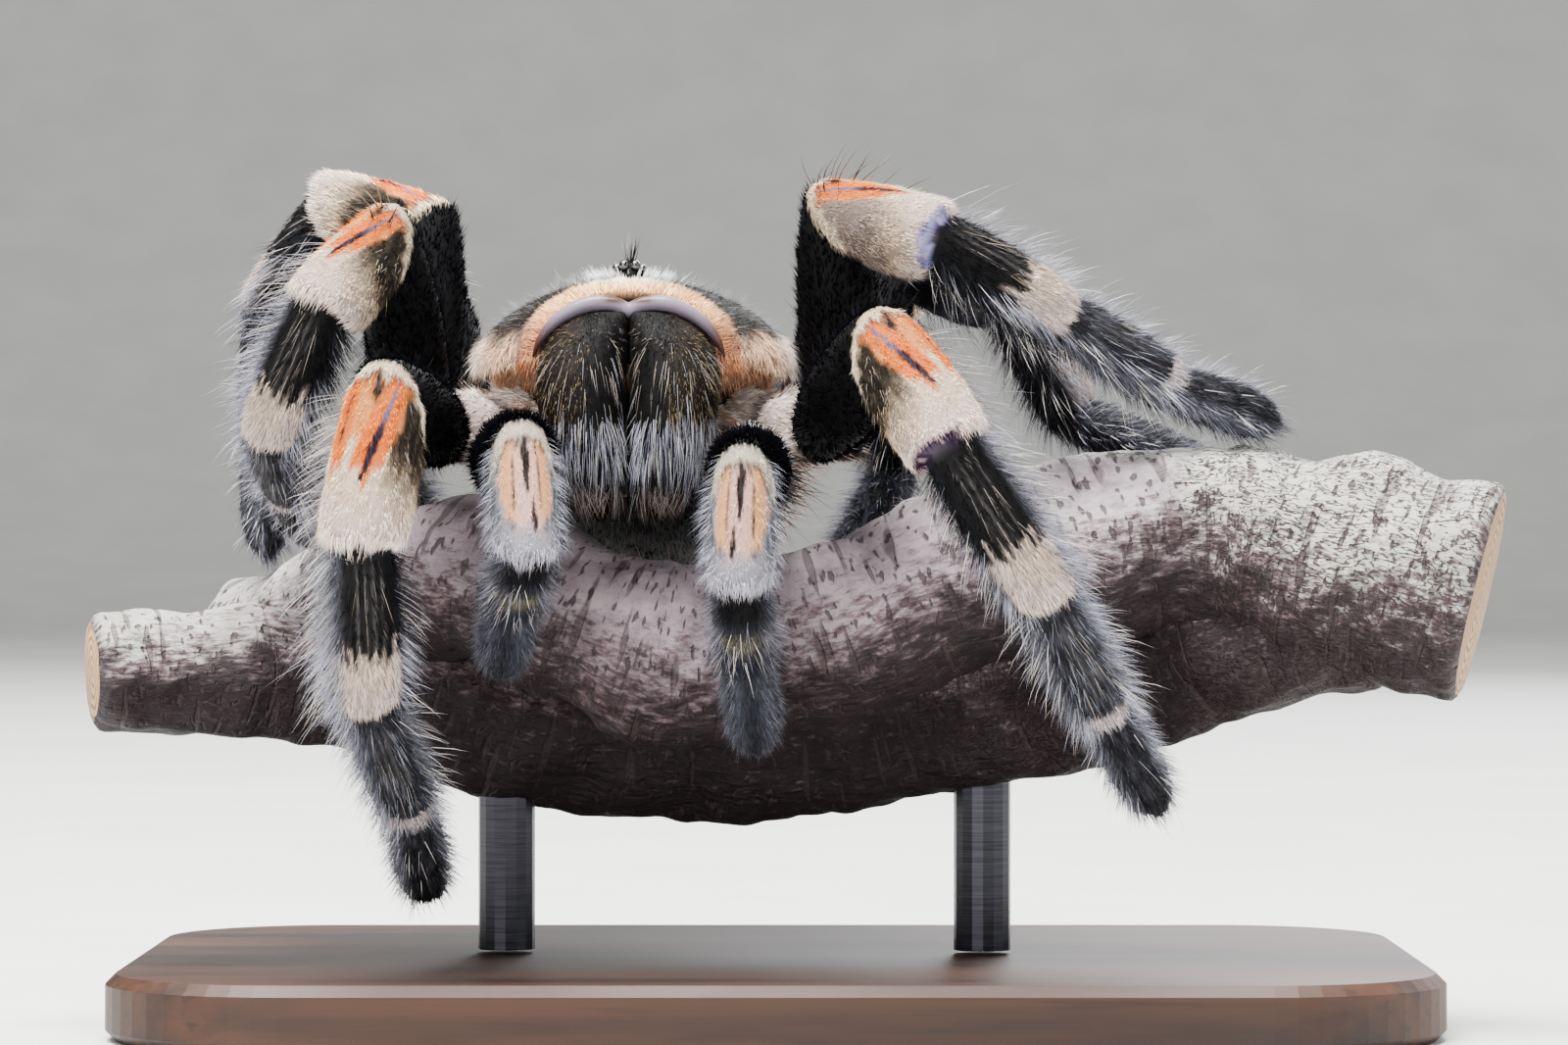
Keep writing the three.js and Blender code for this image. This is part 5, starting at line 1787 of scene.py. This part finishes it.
# %% Vine shape
FRONT_STRAND = [  # from the thick end, [x, y, z, radius]
    [64, 7, 33, 8.8], [54.5, 9, 35.3, 8.3], [45, 11.5, 37, 7.6], [34, 10.5, 36, 7.4],
    [23.5, 9.5, 33.3, 6.8], [13, 9.5, 29.6, 6.6], [3.5, 9.5, 28.8, 7], [-4, 10, 31.2, 6.5],
    [-10.5, 12.5, 34, 6.3], [-17, 18.5, 33.5, 6.2], [-25, 27, 29.5, 6.2], [-31, 33, 28, 6.2],
]
BACK_STRAND = [
    [56, 9, 32, 6], [47, 12, 30.5, 6.5], [38, 17, 27, 6.3], [29, 21, 24.3, 6.2],
    [18, 24, 22.3, 6.4], [6, 24.5, 21.8, 6.6], [-7, 23.5, 22.8, 6.4], [-19, 20, 25.5, 5.8],
    [-30, 15, 27.3, 4.9], [-41, 12, 27, 4.8],
]
STRANDS = ((FRONT_STRAND, 300), (BACK_STRAND, 240))  # with the rows of each one's grid
STRAND_COLUMNS = 96
LUMP, LUMP_SIZE, LUMP_SEED = 0.45, 11, 40  # lumps go in or out by LUMP and are LUMP_SIZE long
KNOT, KNOT_SIZE = 0.135, 3.2
END_ROUND = 0.012  # the share of a strand's length over which its cut end is rounded


def bark_point(stations, seed):
    """A strand with lumps along it, and rounded cut ends."""
    smooth = tube_point(stations)
    middle = tube_point([[x, y, z, 1e-3] for x, y, z, _ in stations])

    def point(u, v):
        core, surface = middle(u, v), smooth(u, v)
        outward = surface - core
        girth = np.linalg.norm(outward, axis=1, keepdims=True)
        lumps = ripple(surface, LUMP_SIZE, seed) * LUMP + ripple(surface, KNOT_SIZE, seed + 1) * KNOT
        near_end = np.minimum(u, 1 - u) / END_ROUND
        rounding = 0.8 * (1 - np.sqrt(np.clip(1 - (1 - np.clip(near_end, 0, 1)) ** 2, 0, 1)))
        return core + outward / girth * (girth + (lumps - 0.15 - rounding)[:, None])

    return point


print(f"a front strand of {len(FRONT_STRAND)} stations and a back one of {len(BACK_STRAND)}")

# %% The bark's map
MAP_SCALE = 0.01  # of the bark's map, for each millimetre
MAP_GAP = 100  # millimetres on the map between the strands


def lay_strand(bm, bark_map, layers, number, stations, rows):
    """Adds one strand, its bark mapped in millimetres along and round, and closes its ends."""
    markings = plain_markings(INK)
    patch = Patch(bark_point(stations, LUMP_SEED + number), markings, rows, STRAND_COLUMNS)
    grid = lay_grid(bm, patch, layers, number)
    path = np.asarray(stations, float)[:, :3]
    length = np.linalg.norm(np.diff(path, axis=0), axis=1).sum()
    around = 2 * math.pi * np.mean([s[3] for s in stations])
    for face in {face for corner in grid for face in corner.link_faces}:
        for loop in face.loops:
            place = loop.vert[layers[0]] * length, loop.vert[layers[1]] * around + MAP_GAP * number
            loop[bark_map].uv = place[0] * MAP_SCALE, place[1] * MAP_SCALE
    closed_skin(bm, grid)


def map_cut_end(face, bark_map):
    """Maps a cut end flat, with the pith in the middle, and gives it the second material."""
    centre, across = face.calc_center_median(), face.normal.orthogonal()
    for loop in face.loops:
        arm = (loop.vert.co - centre) * (MAP_SCALE / MM)
        loop[bark_map].uv = arm.dot(across), arm.dot(face.normal.cross(across))
    face.material_index = 1


print(f"a unit of the bark's map is {1 / MAP_SCALE:.0f} mm")


# %% Build the vine
def underside(mesh):
    """How far each point faces down, as painted shade; painted light on stretches of the front strand,
    painted shade on the back one.
    """
    normals = np.zeros(len(mesh.vertices) * 3, np.float32)
    mesh.vertices.foreach_get("normal", normals)
    u, _, strand = take_grid_layers(mesh)
    # painted light on the front strand's middle and thick end; painted shade over all of the back strand,
    # less at its end
    front_painted_light = 0.3 * hump(u, 0.6, 0.18) + 0.17 * hump(u, 0.0, 0.17)
    back_painted_light = 0.25 * soft_step(u, 0.84, 0.97) - 0.35
    painted_light_and_shade = np.where(strand == 0, front_painted_light, back_painted_light)
    return np.clip((0.85 - normals.reshape(-1, 3)[:, 2]) / 1.4 - painted_light_and_shade, 0, 1)


def vine_object():
    """Both strands in one object."""
    bm = bmesh.new()
    bark_map = bm.loops.layers.uv.new("bark")
    layers = grid_layers(bm)
    for number, (stations, rows) in enumerate(STRANDS):
        lay_strand(bm, bark_map, layers, number, stations, rows)
    for face in bm.faces:
        if len(face.verts) > 20:
            map_cut_end(face, bark_map)
    bmesh.ops.recalc_face_normals(bm, faces=bm.faces)
    made = mesh_object("vine", bm)
    store_number(made.data, "under", underside(made.data))
    return made


vine = vine_object()
print(f"vine: {len(vine.data.polygons)} faces")

# %% Bark patterns
FLAKE_EDGES = (0.5, 0.58, 0.42)  # the levels of the flake noise at which a flake ends


def total(values):
    """The sum of several Values."""
    return sum(values[1:], values[0])


def flaking(flakes):
    """The steps where flakes end, and the dark cracks below them."""
    ledge = total([flakes.between(edge, edge + 0.015) for edge in FLAKE_EDGES])
    crack = total([
        flakes.between(edge - 0.03, edge - 0.005) * (1 - flakes.between(edge, edge + 0.012))
        for edge in FLAKE_EDGES
    ])
    return ledge, crack


def bark_light(finish, mottle, regions, old, along_x):
    """The upper side: pale grey-mauve, darker in a painted shadow of the spider above it, greenish at both
    ends, with some moss.
    """
    pale = finish.mix(mottle.between(0.3, 0.7), rgba(98, 88, 92), rgba(158, 148, 154))
    # painted shadow: the stretch of the top that lies under the spider is darker
    painted_light_and_shade = along_x.between(-0.04, -0.02) * (1 - along_x.between(-0.002, 0.02))
    light = finish.mix(painted_light_and_shade * 0.5, pale, rgba(84, 68, 74))
    thin_end = (along_x * -1.0).between(0.028, 0.05)
    greenish = finish.mix(old * 0.6 + thin_end * 0.5, light, rgba(158, 162, 150))
    moss = mottle.between(0.55, 0.7) * (1 - regions.between(0.4, 0.55)) * 0.5
    return finish.mix(moss, greenish, rgba(96, 98, 78))


print(f"flakes end at {len(FLAKE_EDGES)} levels")


# %% Bark finish
def bark_finish():
    """Grey-mauve bark with marks across the grain, flaking ridges and a dark red-brown underside, darker
    still as painted shade where the bark faces down.
    """
    finish = Finish("bark", Specular_IOR_Level=0.22)
    place = finish.object_place()
    regions = finish.noise(place, 45.0, 3.0)
    mottle = finish.noise(place, 300.0, 5.0, 0.65)
    on_bark = finish.node("ShaderNodeUVMap", {"uv_map": "bark"})
    speckle = finish.noise(finish.stretched(on_bark, 85.0, 180.0, 1.0), 1.0, 5.0, 0.7)
    wrinkles = finish.noise(finish.stretched(on_bark, 70.0, 150.0, 1.0), 1.0, 4.0, 0.6)
    marks = finish.noise(finish.stretched(on_bark, 190.0, 62.0, 1.0), 1.0, 1.5, 0.5)
    scars = finish.noise(finish.stretched(on_bark, 120.0, 14.0, 1.0), 1.0, 1.0, 0.4)
    ledge, crack = flaking(finish.noise(finish.stretched(on_bark, 20.0, 52.0, 1.0), 1.0, 4.0, 0.6))
    dashes = marks.between(0.6, 0.67) + scars.between(0.61, 0.68) * 0.8
    along_x = finish.node("ShaderNodeSeparateXYZ", None, {"Vector": place})
    old = (regions + along_x * 5.0).between(0.52, 0.68)
    upper = bark_light(finish, mottle, regions, old, along_x)
    # painted shade: the middle and near black lower colours take over from the upper ones as the bark faces
    # down
    middle = finish.mix(mottle.between(0.35, 0.65), rgba(44, 33, 36), rgba(84, 67, 72))
    lower = finish.mix(speckle.between(0.35, 0.65), rgba(6, 4, 5), rgba(32, 22, 25))
    under = finish.attribute("under", "Fac")
    ragged = under + (speckle - 0.5) * 2.2 + (mottle - 0.5) * 0.5
    body = finish.mix(ragged.between(0.15, 0.65), upper, middle)
    body = finish.mix(ragged.between(0.5, 0.95), body, lower)
    dark = (dashes * 0.75 + crack * old).between(0.0, 1.0)
    height = mottle * 0.4 + wrinkles * (under * 0.9 + 0.35) + ledge * old * 0.5 - dashes * 0.45
    finish.bump(height, 0.6 * MM, 0.9)
    return finish.paint(Base_Color=finish.mix(dark, body, rgba(46, 36, 37)), Roughness=0.5 + speckle * 0.35)


bark = bark_finish()
print(f"the bark is made of {len(bark.node_tree.nodes)} nodes")

# %% End grain finish
RING_CLOSENESS = 560  # turns of the sine wave that draws the year rings, times 2 pi, on the map


def end_grain_finish():
    """Sawn wood: uneven year rings round the pith."""
    finish = Finish("end_grain", Specular_IOR_Level=0.2)
    on_end = finish.node("ShaderNodeUVMap", {"uv_map": "bark"})
    uneven = finish.noise(on_end, 30.0, 3.0)
    from_pith = finish.node("ShaderNodeVectorMath", {"operation": "LENGTH"}, {0: on_end}, "Value")
    rings = ((from_pith + uneven * 0.02) * RING_CLOSENESS).math("SINE")
    fibres = finish.noise(on_end, 420.0, 3.0, 0.7)
    wood = finish.mix(rings.between(-0.6, 1.0), rgba(178, 148, 112), rgba(122, 92, 66))
    wood = finish.mix(fibres.between(0.4, 0.7) * 0.5, wood, rgba(92, 70, 52))
    finish.bump(fibres + rings * 0.2, 0.2 * MM, 0.6)
    return finish.paint(Base_Color=wood, Roughness=fibres * 0.2 + 0.6)


for material in (bark, end_grain_finish()):
    vine.data.materials.append(material)
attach(vine, "root")
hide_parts("perch_vine")
print("the vine's finishes:", ", ".join(material.name for material in vine.data.materials))

# %% [markdown]
# ## The stand
#
# The base and the two rods keep the shapes of their solids. The base is stained walnut with a satin
# varnish. Its grain could be rings cut through, as in a log, but a board sawn along the trunk shows
# long lines, so noise is stretched along it. The rods are blackened steel, brushed round, so a fine
# grain of noise varies their roughness.


# %% Stand finishes
def walnut_finish():
    """Stained walnut under satin varnish."""
    finish = Finish("walnut", Specular_IOR_Level=0.25, Coat_Weight=0.05, Coat_Roughness=0.3)
    place = finish.object_place()
    waves = finish.noise(finish.stretched(place, 9.0, 160.0, 160.0), 1.0, 5.0, 0.6)
    pores = finish.noise(finish.stretched(place, 60.0, 1500.0, 1500.0), 1.0, 2.0)
    wood = finish.mix(waves.between(0.35, 0.68), rgba(24, 13, 8), rgba(58, 34, 20))
    wood = finish.mix(pores.between(0.58, 0.7) * 0.6, wood, rgba(24, 14, 10))
    finish.bump(waves * 0.3 - pores * 0.3, 0.15 * MM, 0.5)
    return finish.paint(Base_Color=wood, Roughness=waves * 0.2 + 0.42)


def steel_finish():
    """Blackened steel, brushed round the rod."""
    finish = Finish("blackened_steel", Metallic=1.0)
    brushed = finish.noise(finish.stretched(finish.object_place(), 200.0, 200.0, 9000.0), 1.0, 3.0)
    finish.bump(brushed, 0.02 * MM, 0.5)
    colour = finish.mix(brushed.between(0.3, 0.7), rgba(44, 44, 48), rgba(62, 62, 68))
    return finish.paint(Base_Color=colour, Roughness=brushed * 0.3 + 0.25)


def refinish(node_name, material):
    """Gives a solid a better material in its own slots."""
    for slot_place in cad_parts[node_name].material_slots:
        slot_place.material = material


walnut, steel = walnut_finish(), steel_finish()
STAND = {"stand_base": walnut, "stand_rod_1": steel, "stand_rod_2": steel}
for node_name, material in STAND.items():
    refinish(node_name, material)
print("the stand's finishes:", ", ".join(f"{name} {material.name}" for name, material in STAND.items()))

# %% [markdown]
# ## The pale studio floor, and the end
#
# The floor is matt card with a trace of grain.

# %% Floor finish
card = Finish("pale_card", Roughness=0.9, Specular_IOR_Level=0.2)
card_grain = card.noise(card.object_place(), 30.0, 3.0)
card_colour = card.mix(card_grain.between(0.3, 0.7), rgba(196, 196, 194), rgba(202, 202, 200))
backdrop.data.materials.append(card.paint(Base_Color=card_colour))
